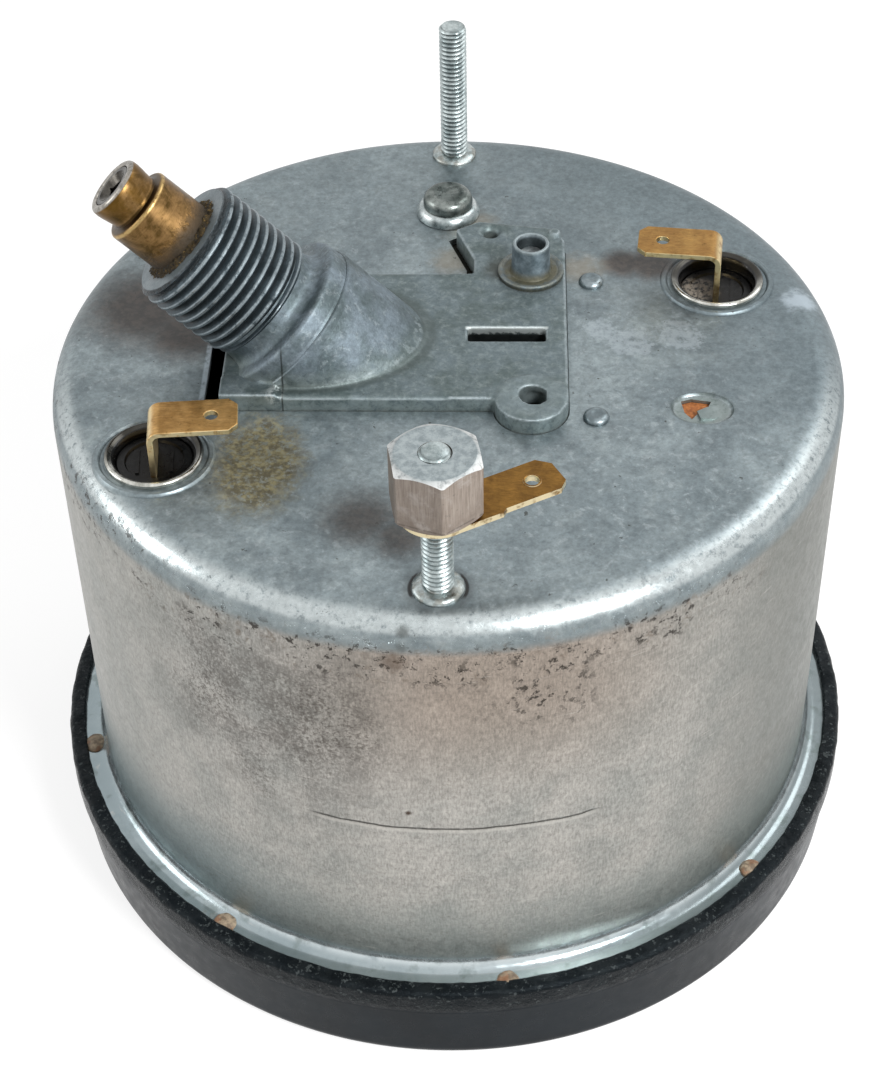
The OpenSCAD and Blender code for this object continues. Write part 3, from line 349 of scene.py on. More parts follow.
class Finish:
    """One procedural material: its shader, a running colour and short calls for the nodes that feed them."""

    def __init__(self, name, **sockets):
        self.material = bpy.data.materials.new(name)
        self.material.use_nodes = True
        self.tree = self.material.node_tree
        self.shader = self.tree.nodes["Principled BSDF"]
        for socket, value in sockets.items():
            self.shader.inputs[socket.replace("_", " ")].default_value = value
        where = self.node("TexCoord").outputs["Object"]
        self.mm = self.node("VectorMath", {0: where, "Scale": 1 / MM}, operation="SCALE").outputs["Vector"]
        self.tone = None
        self.normal = None

    def node(self, kind, feeds=(), **settings):
        return new_node(self.tree, kind, feeds, **settings)

    def math(self, operation, first, *others):
        for other in others:
            first = self.node("Math", {0: first, 1: other}, operation=operation).outputs[0]
        return first

    def times(self, *values):
        return self.math("MULTIPLY", *values)

    def plus(self, *values):
        return self.math("ADD", *values)

    def most(self, *values):
        return self.math("MAXIMUM", *values)

    def flip(self, value):
        return self.math("SUBTRACT", 1, value)

    def absolute(self, value):
        return self.node("Math", {0: value}, operation="ABSOLUTE").outputs[0]

    def axes(self, at=None):
        return self.node("SeparateXYZ", {0: at or self.mm}).outputs

    def span(self, x, y):
        """Length of a flat step."""
        flat = self.node("CombineXYZ", {0: x, 1: y}).outputs[0]
        return self.node("VectorMath", {0: flat}, operation="LENGTH").outputs["Value"]

    def reach(self, at=None, centre=(0, 0)):
        """Distance from an upright axis."""
        x, y, _ = self.axes(at)
        return self.span(self.plus(x, -centre[0]), self.plus(y, -centre[1]))

    def distance(self, at, centre):
        return self.node("VectorMath", {0: at, 1: centre}, operation="DISTANCE").outputs["Value"]

    def stretched(self, x, y, z, turn=0, at=None):
        feeds = {"Vector": at or self.mm, "Scale": (x, y, z), "Rotation": (0, 0, math.radians(turn))}
        return self.node("Mapping", feeds).outputs[0]

    def along_drive(self):
        """Millimetre coordinates with Z along the cable's axis and zero at its end."""
        start = -(Matrix.Rotation(-DRIVE_TILT, 3, "Y") @ DRIVE_END)
        feeds = {"Vector": self.mm, "Rotation": (0, -DRIVE_TILT, 0), "Location": start}
        return self.node("Mapping", feeds).outputs[0]

    def noise(self, scale, detail=4, rough=0.55, warp=0, at=None):
        feeds = {"Vector": at or self.mm, "Scale": scale, "Detail": detail, "Roughness": rough,
                 "Distortion": warp}
        return self.node("TexNoise", feeds).outputs["Fac"]

    def step(self, value, low, high, to_low=0, to_high=1):
        """Eases from one value to another as the input goes from low to high."""
        if low > high:
            low, high, to_low, to_high = high, low, to_high, to_low
        feeds = {"Value": value, "From Min": low, "From Max": high, "To Min": to_low, "To Max": to_high}
        return self.node("MapRange", feeds, interpolation_type="SMOOTHSTEP").outputs["Result"]

    def between(self, amount, low, high):
        """Eases from low to high over the middle of a noise."""
        return self.step(amount, 0.3, 0.7, low, high)

    def fade(self, mask, bare, covered):
        return self.step(mask, 0, 1, bare, covered)

    def speckle(self, low, high, *grain):
        """A noise cut into patches between two of its levels."""
        return self.step(self.noise(*grain), low, high)

    def band(self, value, low, high, soft):
        rise = self.step(value, low - soft, low + soft)
        return self.times(rise, self.step(value, high + soft, high - soft))

    def spot(self, centre, inner, outer, ragged=0, grain=0.4, at=None):
        """One at a place, falling to zero between two radii; its edge may be ragged."""
        away = self.distance(at or self.mm, centre)
        if ragged:
            away = self.plus(away, self.times(self.plus(self.noise(grain, 5, 0.65), -0.5), ragged))
        return self.step(away, outer, inner)

    def spots(self, *rows):
        return self.most(*[self.spot(*row) for row in rows])

    def blend(self, amount, under, over, mode="MIX"):
        feeds = {0: amount, 6: under, 7: over}
        return self.node("Mix", feeds, data_type="RGBA", blend_type=mode).outputs[2]

    def base(self, amount, under, over, low=0.34, high=0.66):
        """Starts the running colour with two tones."""
        self.tone = self.blend(self.step(amount, low, high), under, over)

    def coat(self, over, *amounts):
        """Lays a colour over the running one, by the product of the amounts."""
        self.tone = self.blend(self.times(*amounts), self.tone, over)

    def vary(self, amount, low, high):
        """Multiplies the running colour by a grey that goes from low to high with the amount."""
        level = self.between(amount, low, high)
        grey = self.node("CombineColor", {0: level, 1: level, 2: level}).outputs[0]
        self.tone = self.blend(1, self.tone, grey, "MULTIPLY")

    def facing(self, axis="Z"):
        """One part of the surface direction; for Z, 1 looks up, 0 is upright and -1 looks down."""
        return self.axes(self.node("NewGeometry").outputs["Normal"])[axis]

    def crevice(self, reach):
        """Open surface is 1, corners go to 0 within a reach in millimetres."""
        return self.node("AmbientOcclusion", {"Distance": reach * MM}, samples=6).outputs["AO"]

    def bump(self, height, depth, strength):
        """Raises the surface by a height that runs from 0 to 1, times a depth in millimetres."""
        feeds = {"Height": height, "Distance": depth * MM, "Strength": strength}
        if self.normal:
            feeds["Normal"] = self.normal
        self.normal = self.node("Bump", feeds).outputs[0]
        feed(self.tree, self.shader.inputs["Normal"], self.normal)

    def done(self, rough, metal=0):
        for socket, value in (("Base Color", self.tone), ("Roughness", rough), ("Metallic", metal)):
            feed(self.tree, self.shader.inputs[socket], value)
        return self.material


def can_zinc():
    """Passivated zinc plate: blue-grey clouds on the back, warmer satin on the side, stains and rubs, with
    painted shadows, painted highlights and painted shade in the colour.
    """
    f = Finish("can zinc plate")
    x, y, z = f.axes()
    clouds = f.noise(0.07, 6, 0.62, 0.6)
    patches = f.noise(0.25, 5, 0.6, 0.3)
    mottle = f.noise(0.6, 6, 0.7, 0.4)
    grain = f.noise(1.6, 4, 0.7)
    dirt = f.noise(0.9, 6, 0.7)
    crisp = f.noise(1.1, 6, 0.78)
    on_back = f.step(z, 76.3, 78.2)
    on_side = f.flip(on_back)
    front = f.step(y, -30, -46)
    rounding_wear_and_sheen = f.times(f.band(z, 77.6, 81, 0.8), f.step(y, -8, -34))

    # Back
    f.base(clouds, "#758084", "#8e999c", 0.36)
    f.coat("#9da7a8", f.step(patches, 0.5, 0.72), 0.45)
    f.coat("#a3acaf", f.step(mottle, 0.54, 0.64), 0.5)
    f.coat("#6b767b", f.step(mottle, 0.46, 0.36), 0.5)
    f.coat("#6b777b", f.step(y, 5, 45), f.step(x, -5, 25, 0.35, 0.85))
    f.coat("#69757a", f.step(x, 22, 50), f.step(y, -30, -5), 0.75)
    f.vary(f.math("SNAP", f.noise(0.13, 4, 0.62, 0.8), 0.045), 0.93, 1.07)
    calm = f.times(f.plus(crisp, -0.5), f.fade(rounding_wear_and_sheen, 1, 0.4))
    f.vary(f.plus(calm, 0.5), 0.81, 1.15)
    back = f.tone

    # Side
    f.base(f.noise(0.12, 5, 0.6, 0.2), "#9e9e99", "#b1aea8", 0.34, 0.68)
    f.coat("#8a8a85", f.step(patches, 0.5, 0.74), 0.15)
    f.coat("#998676", f.step(z, 46, 70), f.band(x, -12, 26, 14), front, 0.62)
    f.vary(f.noise(0.9, 5, 0.65, at=f.stretched(0.3, 0.3, 2.2)), 0.96, 1.04)
    f.vary(f.noise(2.4, 4, 0.7, at=f.stretched(1.6, 1.6, 0.45)), 0.77, 1.17)
    # Painted shade: the side is darker towards the right, as a dark reflection, and somewhat darker towards
    # the left, to offset the left lamp.
    f.coat("#6e716c", f.step(x, 26, 50), 0.85)
    f.coat("#92948f", f.step(x, -26, -48), 0.5)
    f.vary(crisp, 0.92, 1.06)
    f.tone = f.blend(on_back, f.tone, back)

    # Low part, rounding and flange
    f.coat("#8a9390", f.step(z, 34, 19), 0.6)
    # Painted reflection: a dark teal tint low on the left of the side, near the flange.
    f.coat("#71858a", f.step(z, 38, 20), f.step(x, -14, -36), 0.55)
    # Lighter front of the rounding: partly wear, partly a painted sheen where the lamps catch it.
    f.coat("#b9c1c2", rounding_wear_and_sheen, f.step(patches, 0.3, 0.65), 0.3)
    # Painted highlight: a pale glossy band along the crest of the rounding at the front, standing in for the
    # lamps' glint.
    rubbed = f.times(f.band(z, 79.5, 81.15, 0.35), f.step(y, 4, -20), f.step(crisp, 0.34, 0.5))
    f.coat("#d3dada", rubbed, 0.6)
    # Painted shade: a darker band on the lower part of the rounding at the front, below the painted
    # highlight.
    f.coat("#6b7475", f.band(z, 77, 78.6, 0.7), f.step(y, 0, -26), f.step(mottle, 0.32, 0.56), 0.5)
    f.vary(grain, 0.9, 1.08)
    f.coat("#65605a", f.speckle(0.53, 0.66, 1.7, 5, 0.75, 0.4), on_side, 0.35)
    flange = f.step(z, 17.8, 15.9)
    bright = f.blend(f.step(clouds, 0.36, 0.64), "#95a2a6", "#aab5b8")
    f.coat(f.blend(f.times(f.step(x, 12, 44), 0.75), bright, "#7c8587"), flange)
    # Painted highlight: a pale line along the flange's inner bend.
    f.coat("#d3dcde", f.band(z, 15.7, 16.7, 0.4), f.step(patches, 0.2, 0.5), 0.85)

    # Marks on the back and painted shadows
    tall = f.stretched(1.6, 1, 1, STAIN_TURN)
    centre = spin_deg(STAIN_TURN) @ Vector((-23.8 * 1.6, -24.4, BACK))
    f.coat("#7b765c", f.spot(centre, 3, 12.5, 6, 0.2, tall), 0.55)
    stain = f.times(f.spot(centre, 6, 12.5, 9, 0.35, tall), f.speckle(0.36, 0.52, 1.5, 6, 0.72))
    f.coat(f.blend(f.step(dirt, 0.42, 0.62), "#453d24", "#7d7552"), stain, 0.9)
    # Painted shadows, with a brown dirty tint: soft dark patches left of the right lamp's blade, left of the
    # cable boss and left of the nut.
    smear = f.most(
        f.spots(((28.6, 19.2, BACK), 2, 5.2, 1.4), ((24.6, 19.4, BACK), 1.6, 4.4, 1.4),
                ((-42.2, 8.6, BACK), 3.5, 13, 3.5), ((-36.4, 3, BACK), 2.5, 8.6, 2.5)),
        f.times(f.spots(((-10, -34.6, BACK), 1, 7.6, 3), ((-5, -38, BACK), 1, 6, 3)), 0.86))
    f.coat(f.blend(f.step(dirt, 0.4, 0.6), "#2e2824", "#473e38"), smear, 0.92)
    bloom = f.spots(((25, 0.8, BACK), 0.5, 4.6, 7, 0.3), ((31.6, 2.6, BACK), 0.5, 5.2, 8, 0.3),
                    ((20.8, 4.2, BACK), 0.5, 3.8, 5, 0.35))
    f.coat("#abb5bb", f.step(bloom, 0.34, 0.54), f.speckle(0.3, 0.56, 0.8, 5, 0.7), 0.5)
    raw_edge = f.times(f.band(x, -32.8, -32.1, 0.15), f.band(y, -13, 1, 1), f.step(z, 80.9, 81.3))
    f.coat("#b9c6cf", raw_edge, f.step(mottle, 0.3, 0.5), 0.7)
    spare = (SPARE_HOLE[0], SPARE_HOLE[1] * SPARE_OVAL, BACK)
    eye = f.distance(f.stretched(1, SPARE_OVAL, 1), spare)
    # Painted shade: darker inside the spare hole's dish, and a dark line along its rim.
    f.coat("#6f7b77", f.step(eye, 3.9, 3.4), 0.6)
    f.coat("#58625f", f.band(eye, 3.75, 4.25, 0.25), f.step(mottle, 0.34, 0.56), 0.7)
    f.coat("#b7c3cc", f.spot((48.9, 10.8, BACK), 1, 3.2, 5, 0.5), 0.7)
    warm = f.spots(((2.5, 28.5, BACK), 1, 6, 4), ((18.5, 18, BACK), 1, 5, 5),
                   ((0.5, 20, BACK), 1, 4.5, 4))
    f.coat("#9b8c74", warm, 0.4)
    f.coat("#35332c", f.speckle(0.68, 0.71, 0.8, 3, 0.6), f.step(dirt, 0.48, 0.58), on_back, 0.75)
    from_stud = f.reach(centre=(0, -STUD_Y))
    top = f.step(z, 81, 81.3)
    f.coat("#55595a", f.band(from_stud, 3.2, 4.4, 0.5), top, 0.4)
    tears = f.times(f.band(from_stud, 3.3, 3.75, 0.12), f.step(f.absolute(x), 2.3, 2.9), top,
                    f.step(y, -STUD_Y - 2.2, -STUD_Y - 1.2))
    f.coat("#141413", tears)

    # Soot, rust and specks on the side
    sooty = f.spots((on_can(-112, 61), 5, 26, 18, 0.12), (on_can(-104, 68), 1, 9, 10, 0.3),
                    (on_can(-123, 69), 1, 10, 11, 0.3))
    soot = f.plus(f.times(f.noise(0.22, 4, 0.6), 0.35), f.times(f.noise(2.2, 4, 0.75), 0.65))
    smudge = f.times(sooty, f.step(soot, 0.42, 0.6), on_side)
    f.coat("#57514b", smudge, 0.6)
    core = f.spots((on_can(-106, 63), 2, 13, 12, 0.2), (on_can(-124, 60), 1, 9, 10, 0.25),
                   (on_can(-117, 48), 0.5, 5, 7, 0.25))
    f.coat("#443c34", core, f.speckle(0.5, 0.58, 1.9, 4, 0.72), on_side, 0.6)
    shoulder = f.times(f.band(z, 71.5, 78.2, 1.4), front)
    rust = f.times(f.speckle(0.55, 0.66, 0.55, 6, 0.75, 0.5), shoulder)
    f.coat("#6a5c4d", rust, 0.6)
    specks = f.most(shoulder, f.spot(on_can(-76, 69), 2, 13, 8),
                    f.times(f.spot(on_can(-110, 64), 2, 16), 0.3),
                    f.times(f.band(z, 73, 80, 1), f.step(x, -30, -40), 0.9))
    pits = f.times(f.speckle(0.545, 0.59, 0.8, 5, 0.74), specks, f.speckle(0.38, 0.54, 0.16, 3))
    f.coat("#2b2620", pits, 0.9)

    # The long score, drips and scuffs
    wander = f.plus(z, f.times(f.plus(f.noise(0.2, 3), -0.5), 0.8), f.times(x, 0.008))
    along = f.times(f.band(x, -17, 20, 1.5), f.step(y, -30, -36), f.speckle(0.25, 0.42, 0.5, 4))
    score = f.times(f.band(wander, 44.36, 44.6, 0.14), along)
    f.coat("#37332d", score, 0.95)
    drip = f.spots(((-4.2, -53.2, 80), 0.5, 1.2, 1.2, 1), ((-4.4, -53.9, 77.9), 0.3, 1, 1, 1))
    f.coat("#5b605f", drip, 0.75)
    f.coat("#5f5044", f.spot(on_can(-95.7, 75.4), 0.5, 2.4, 2.6, 0.8), 0.65)
    f.coat("#4a3d34", f.spot(on_can(-94.6, 47.5), 0.1, 0.62, 0.5, 1.5))
    f.coat("#cdc9c2", f.band(wander, 43.7, 44.2, 0.2), along, 0.45)
    scuffs = f.noise(0.8, 5, 0.7, at=f.stretched(0.16, 0.16, 3.5))
    f.coat("#d3cec7", f.step(scuffs, 0.63, 0.7), on_side, 0.35)
    f.coat("#5f6d68", flange, f.speckle(0.52, 0.68, 0.35, 5), 0.45)
    # Painted shade: the inside of the can, seen through its cut-outs, is painted near black.
    inside = f.times(f.step(z, 80.7, 80.45), f.step(f.reach(), 50, 49))
    f.coat("#0c0d0d", inside)

    dull = f.most(stain, smudge, rust)
    f.bump(f.noise(0.05, 2), 0.35, 0.25)
    f.bump(grain, 0.03, 0.4)
    f.bump(f.flip(f.most(score, pits)), 0.12, 0.8)
    rough = f.plus(f.between(mottle, 0.36, 0.5), f.times(dull, 0.25), f.times(flange, -0.24),
                   f.times(rounding_wear_and_sheen, -0.15), f.times(rubbed, -0.06))
    return f.done(rough, f.fade(f.most(dull, tears, inside, smear), 0.8, 0.15))


def bezel_paint():
    """Satin black stove enamel, chipped and worn along the rolled lip."""
    f = Finish("bezel black enamel", Specular_IOR_Level=0.11, Specular_Tint=(0.78, 0.93, 1, 1))
    lip = f.step(f.axes()["Z"], 11.7, 13)
    f.base(f.noise(0.1), "#0a0f14", "#10171d", 0.35, 0.65)
    # Painted shade: the lip is painted darker than the wall, for the darker reflection towards the top.
    f.coat("#07090a", lip, 0.6)
    f.coat("#24282a", f.speckle(0.44, 0.62, 0.35, 5), lip, 0.35)
    f.coat("#6b7272", f.speckle(0.57, 0.64, 1.3, 5, 0.72), lip, 0.36)
    rub = f.noise(1.2, 5, 0.7, at=f.stretched(0.4, 0.4, 2))
    f.coat("#4b5054", f.step(rub, 0.66, 0.74), f.flip(lip), 0.2)
    f.bump(f.noise(0.4, 3), 0.05, 0.3)
    f.bump(f.times(f.noise(0.9, 5, 0.7), lip), 0.5, 0.6)
    return f.done(f.plus(f.between(f.noise(0.5, 5), 0.26, 0.36), f.times(lip, -0.08)))


def cast_zinc(name):
    """Dull die-cast zinc: cool grey skin, dirt with painted shade in the corners, painted shade in the slot
    and beside the trip boss, and bright rubbed edges.
    """
    f = Finish(name)
    x, y, z = f.axes()
    above = f.plus(z, -PLATE_TOP)
    clouds = f.noise(0.22, 6, 0.62, 0.4)
    mottle = f.noise(0.8, 6, 0.7, 0.3)
    grain = f.noise(2.2, 4, 0.7)
    worn = "#a2acb0"
    f.base(clouds, "#586467", "#76828a")
    f.coat(worn, f.step(mottle, 0.54, 0.66), 0.35)
    f.vary(f.noise(1.2, 6, 0.78), 0.76, 1.18)
    f.vary(grain, 0.9, 1.08)
    low = f.step(above, 3, 0.3)
    f.coat(f.blend(f.step(mottle, 0.4, 0.6), "#55625f", "#737f7c"), low, 0.45)
    f.coat("#8b9695", f.step(f.facing(), 0.75, 0.3), low, f.step(mottle, 0.3, 0.55), 0.5)
    slot = f.times(f.band(x, 2.5, 13.7, 0.2), f.band(y, 1.2, 1.75, 0.15))
    # Dirt and painted shade: darker where the surfaces close in, found by ambient occlusion.
    grime = f.times(f.step(f.crevice(2.2), 0.66, 0.3), f.speckle(0.3, 0.62, 0.8, 5, 0.7), f.flip(slot))
    f.coat("#3d403a", grime, 0.65)
    f.coat("#3f4645", f.speckle(0.58, 0.68, 1.5, 5, 0.75), 0.5)
    ridge = f.node("NewGeometry").outputs["Pointiness"]
    f.coat(worn, f.step(ridge, 0.515, 0.55), f.speckle(0.34, 0.6, 0.5, 5, 0.7), low, 0.75)
    # Painted shade: the slot is near black below the plate top.
    slot_depth_shade = f.times(f.band(x, 2.5, 13.7, 0.1), f.band(y, -1.7, 1.9, 0.1), f.step(above, -0.6, -1.5))
    f.coat("#111313", slot_depth_shade, 0.93)
    burr = f.plus(above, f.times(f.noise(1.3, 4, 0.7), 1.8))
    f.coat("#c3cbca", slot, f.step(burr, -0.3, 0.05), 0.85)
    reach = f.reach(f.along_drive())
    toe = f.times(f.band(above, 0.15, 0.9, 0.25), f.band(x, -17, -3, 2.5), f.step(y, 1, -2),
                  f.step(reach, 13.5, 12.4))
    f.coat("#b3bcbe", toe, f.speckle(0.46, 0.58, 1.2, 5, 0.7), 0.25)
    joint = f.times(f.band(above, -0.1, 0.45, 0.15), f.band(reach, 11.3, 12.8, 0.4), f.step(x, -23.5, -22))
    f.coat("#4b5452", joint, 0.6)
    f.coat("#2c3130", f.band(x, -21.5, -21.28, 0.07), f.step(y, -7, -9), f.step(above, 6.5, 5), 0.8)
    # Painted shadow of the trip boss on the plate, to its left.
    f.coat("#35352c", f.spot((RESET_XY[0] - 4.2, RESET_XY[1] + 0.8, PLATE_TOP), 0.8, 3.6, 2), 0.7)
    f.coat("#929fa1", f.spot((*LUG_XY, PLATE_TOP), 4, 5.4), 0.18)
    foot = f.spot((-22.6, -12.9, PLATE_TOP), 0.3, 1.8, 2.4, 0.8)
    f.coat("#d2d8d7", foot, f.step(mottle, 0.42, 0.55), 0.8)
    f.bump(f.noise(0.9, 5, 0.65), 0.14, 0.45)
    f.bump(grain, 0.06, 0.5)
    return f.done(f.between(clouds, 0.44, 0.6), f.fade(grime, 0.72, 0.1))


def boss_zinc():
    """The trip boss: the casting's metal with rust and caked grime at its foot, painted shade in its bore
    and a rubbed rim.
    """
    f = Finish("trip boss zinc")
    z = f.axes()["Z"]
    above = f.plus(z, -PLATE_TOP)
    out = f.reach(centre=RESET_XY)
    clouds = f.noise(0.5, 5, 0.6)
    f.base(clouds, "#57646a", "#76838a")
    rust = f.times(f.step(above, 1.9, 0.7), f.speckle(0.3, 0.56, 0.7, 6, 0.7))
    f.coat("#676148", rust, 0.5)
    f.coat("#4e4a33", f.band(out, 2.6, 3.75, 0.3), f.step(above, 2, 0.6), f.step(clouds, 0.3, 0.5), 0.8)
    f.coat("#37362b", f.step(out, 4.5, 4.58), f.step(above, 0.6, 0.3), 0.8)
    # Painted shade: dark inside the bore.
    f.coat("#2e3435", f.step(out, 2.1, 1.9), f.step(z, 88.7, 88.2), 0.85)
    f.coat("#a3adaf", f.step(z, 88.3, 88.7), 0.55)
    f.vary(f.noise(2.6, 4, 0.65), 0.85, 1.12)
    f.bump(f.noise(1.2, 5, 0.65), 0.1, 0.4)
    return f.done(f.between(clouds, 0.4, 0.56), f.fade(rust, 0.75, 0.3))


def thread_zinc():
    """The casting's metal on the cable thread: painted shade in the grooves, thin crests that are rubbed and
    painted as highlights, and small pits.
    """
    f = Finish("cable thread zinc")
    at = f.along_drive()
    up = f.axes(at)["Z"]
    reach = f.reach(at)
    clouds = f.noise(0.35, 5, 0.6)
    f.base(clouds, "#353f44", "#4b565c")
    # Painted shade in the thread's grooves.
    deep = f.step(reach, 8.6, 8.2)
    f.coat("#22282b", deep, 0.8)
    # Bright crests: rubbed wear and a painted highlight where the light would catch them.
    f.coat("#98a3a8", f.step(reach, 8.76, 8.9), f.speckle(0.3, 0.52, 0.6, 5, 0.7), 0.75)
    face = f.times(f.step(up, -0.2, -0.08), f.step(reach, 8.3, 8))
    f.coat("#7f8c92", face, 0.8)
    chipped = f.times(f.step(up, -1.6, -0.3), f.step(reach, 8, 8.3), f.speckle(0.48, 0.58, 0.8, 5, 0.75))
    f.coat("#1f2426", chipped, 0.8)
    collar_dirt = f.times(face, f.step(reach, 7, 5.7), f.speckle(0.34, 0.56, 1.1, 5, 0.7))
    f.coat("#332b1c", collar_dirt, 0.85)
    holes = f.speckle(0.65, 0.69, 1.5, 4, 0.7)
    f.coat("#191c1e", holes, 0.85)
    f.vary(f.noise(2.6, 4, 0.7), 0.82, 1.15)
    f.bump(f.flip(f.most(holes, chipped)), 0.2, 0.8)
    f.bump(f.noise(1, 5, 0.65), 0.1, 0.4)
    return f.done(f.between(clouds, 0.36, 0.5), f.fade(f.most(deep, collar_dirt, chipped), 0.8, 0.35))


def sheet_brass(name, light, dark, edge, turn=0):
    """Stamped brass strip: tarnished faces, fine rolling lines and bright cut edges."""
    f = Finish(name)
    lines = f.noise(1.4, 5, 0.68, at=f.stretched(0.7, 3, 3, -turn))
    f.base(f.noise(0.4, 6, 0.68, 0.3), dark, light)
    f.vary(lines, 0.8, 1.16)
    f.coat("#523a17", f.speckle(0.58, 0.68, 1.3, 5, 0.75), 0.45)
    f.coat(edge, f.step(f.absolute(f.facing()), 0.93, 0.6), f.speckle(0.3, 0.5, 0.8), 0.75)
    f.bump(lines, 0.02, 0.4)
    return f.done(f.between(f.noise(0.7, 5), 0.32, 0.46), 1)


def sleeve_brass():
    """Turned brass sleeve, browned, with black grease at its root and a bright rubbed lip."""
    f = Finish("sleeve browned brass")
    at = f.along_drive()
    up = f.axes(at)["Z"]
    clouds = f.noise(0.4, 6, 0.7, 0.5)
    freckles = f.noise(1.6, 5, 0.72)
    rings = f.noise(1, 3, 0.6, at=f.stretched(0.25, 0.25, 6, at=at))
    f.base(clouds, "#523f21", "#856843", 0.34, 0.64)
    f.coat("#4f3a1b", f.step(freckles, 0.54, 0.66), 0.5)
    f.vary(rings, 0.86, 1.12)
    rising = f.plus(f.noise(0.9, 6, 0.72), f.step(up, 3.6, 0, 0, 0.34))
    grease = f.times(f.step(up, 4.2, 0.4), f.step(rising, 0.44, 0.64))
    f.coat("#241d10", grease, 0.92)
    f.coat("#2b1f0c", f.band(up, 7.75, 8.25, 0.12), 0.85)
    f.coat("#c9ad75", f.band(up, 7.3, 7.7, 0.12), f.step(freckles, 0.35, 0.5), 0.6)
    f.coat("#5f4519", f.step(up, 8.2, 9), f.speckle(0.36, 0.6, 0.6, 5), 0.6)
    f.coat(f.blend(f.step(freckles, 0.35, 0.6), "#7b7770", "#a9a59e"), f.step(up, 11.5, 11.7))
    f.bump(rings, 0.02, 0.4)
    f.bump(f.times(grease, f.noise(1.6, 4, 0.7)), 0.35, 0.7)
    return f.done(f.plus(f.between(clouds, 0.28, 0.42), f.times(grease, 0.35)), f.fade(grease, 1, 0.15))


def grease_grime():
    """Crumbly black-brown grease with ochre grit."""
    f = Finish("caked grease", Specular_IOR_Level=0.3)
    lumps = f.noise(1.3, 5, 0.7)
    f.base(lumps, "#120f0a", "#3a2f19", 0.35, 0.6)
    f.coat("#8a7040", f.speckle(0.58, 0.66, 2.6, 4, 0.7), 0.8)
    f.bump(lumps, 0.5, 0.7)
    return f.done(f.between(lumps, 0.5, 0.85))


def plated_steel(name, light, dark, low=0.3, high=0.45, grime=0, reach=1.2):
    """Plated or machined metal: soft clouds, a fine grain, and dirt with painted shade in the corners."""
    f = Finish(name)
    grain = f.noise(1.4, 5, 0.65)
    f.base(f.noise(0.35, 5, 0.6, 0.3), dark, light)
    f.vary(grain, 0.84, 1.14)
    f.coat("#4c4a45", f.speckle(0.64, 0.72, 1.7, 5, 0.72), 0.4)
    # Dirt and painted shade: darker where the surfaces close in, found by ambient occlusion.
    if grime:
        f.coat("#38362f", f.step(f.crevice(reach), 0.7, 0.35), grime)
    f.bump(grain, 0.03, 0.35)
    return f.done(f.between(grain, low, high), 0.92)


def nut_steel():
    """Plain steel nut: drawn lines down its pinkish flats, a greyer top and bright chamfers, with painted
    light and shade on its flats.
    """
    f = Finish("nut drawn steel")
    z = f.axes()["Z"]
    facing = f.facing()
    top = f.step(facing, 0.75, 0.95)
    drawn = f.noise(1.6, 5, 0.65, at=f.stretched(2.6, 2.6, 0.16))
    blotch = f.noise(0.9, 5, 0.7)
    f.base(drawn, "#7d7167", "#9b9086", 0.32, 0.68)
    f.coat("#b3aca6", f.speckle(0.5, 0.7, 0.4, 5, 0.6, 0.3), 0.5)
    stain = f.plus(f.times(drawn, 0.5), f.times(blotch, 0.5))
    f.coat("#6a5c52", f.step(z, 98.6, 95.4), f.step(stain, 0.44, 0.58), 0.55)
    # Painted light and shade: flats that face +X are lighter and those that face -X darker, as if lit from
    # the right.
    f.vary(f.step(f.facing("X"), -0.7, 0.9, 0.3, 0.7), 0.86, 1.22)
    f.coat(f.blend(f.step(blotch, 0.36, 0.64), "#7f898c", "#a0a9ab"), top)
    f.coat("#dcdedd", f.step(facing, 0.3, 0.5), f.step(facing, 0.95, 0.85), f.step(blotch, 0.3, 0.5), 0.8)
    f.coat("#655e58", f.speckle(0.6, 0.68, 1.3, 5, 0.72), 0.45)
    f.coat("#463e38", f.band(z, 95.55, 95.75, 0.12), f.step(blotch, 0.4, 0.55), 0.6)
    f.bump(f.times(drawn, f.flip(top)), 0.06, 0.5)
    f.bump(blotch, 0.05, 0.4)
    return f.done(f.between(drawn, 0.38, 0.54), 0.5)


def stud_zinc():
    """Bright zinc on the studs, with painted shade at the thread's root, and brownish at the shoulder."""
    f = Finish("stud bright zinc")
    x, y, z = f.axes()
    reach = f.span(x, f.plus(f.absolute(y), -STUD_Y))
    clouds = f.noise(0.5, 5, 0.65)
    f.base(clouds, "#8f9b9c", "#bdc6c6")
    on_thread = f.step(z, BACK + 0.9, BACK + 1.1)
    # Painted shade at the root of the thread.
    root = f.times(f.step(reach, 1.84, 1.62), on_thread, f.step(f.facing(), 0.97, 0.9))
    f.coat("#4a5152", root, 0.7)
    f.coat("#827c70", f.flip(on_thread), f.speckle(0.4, 0.62, 0.8, 5, 0.7), 0.6)
    f.vary(f.noise(2.2, 4, 0.7), 0.82, 1.14)
    f.bump(f.noise(1.4, 4, 0.65), 0.04, 0.4)
    return f.done(f.between(clouds, 0.26, 0.42), f.fade(root, 0.92, 0.5))


def moulded_black(name, tone, low, high, crumbs=None):
    """Moulded black plastic or rubber with a faint skin and dust, and crumbs at a place."""
    f = Finish(name, Specular_IOR_Level=0.25)
    skin = f.noise(1.4, 4, 0.6)
    f.tone = tone
    f.coat("#5b5a54", f.speckle(0.58, 0.7, 1.1, 6, 0.75), 0.16)
    if crumbs:
        f.coat("#978e82", f.spot(crumbs, 1, 3.6, 2.6, 0.6), f.speckle(0.4, 0.54, 1.7, 4, 0.7), 0.85)
    f.bump(skin, 0.04, 0.4)
    return f.done(f.between(skin, low, high))


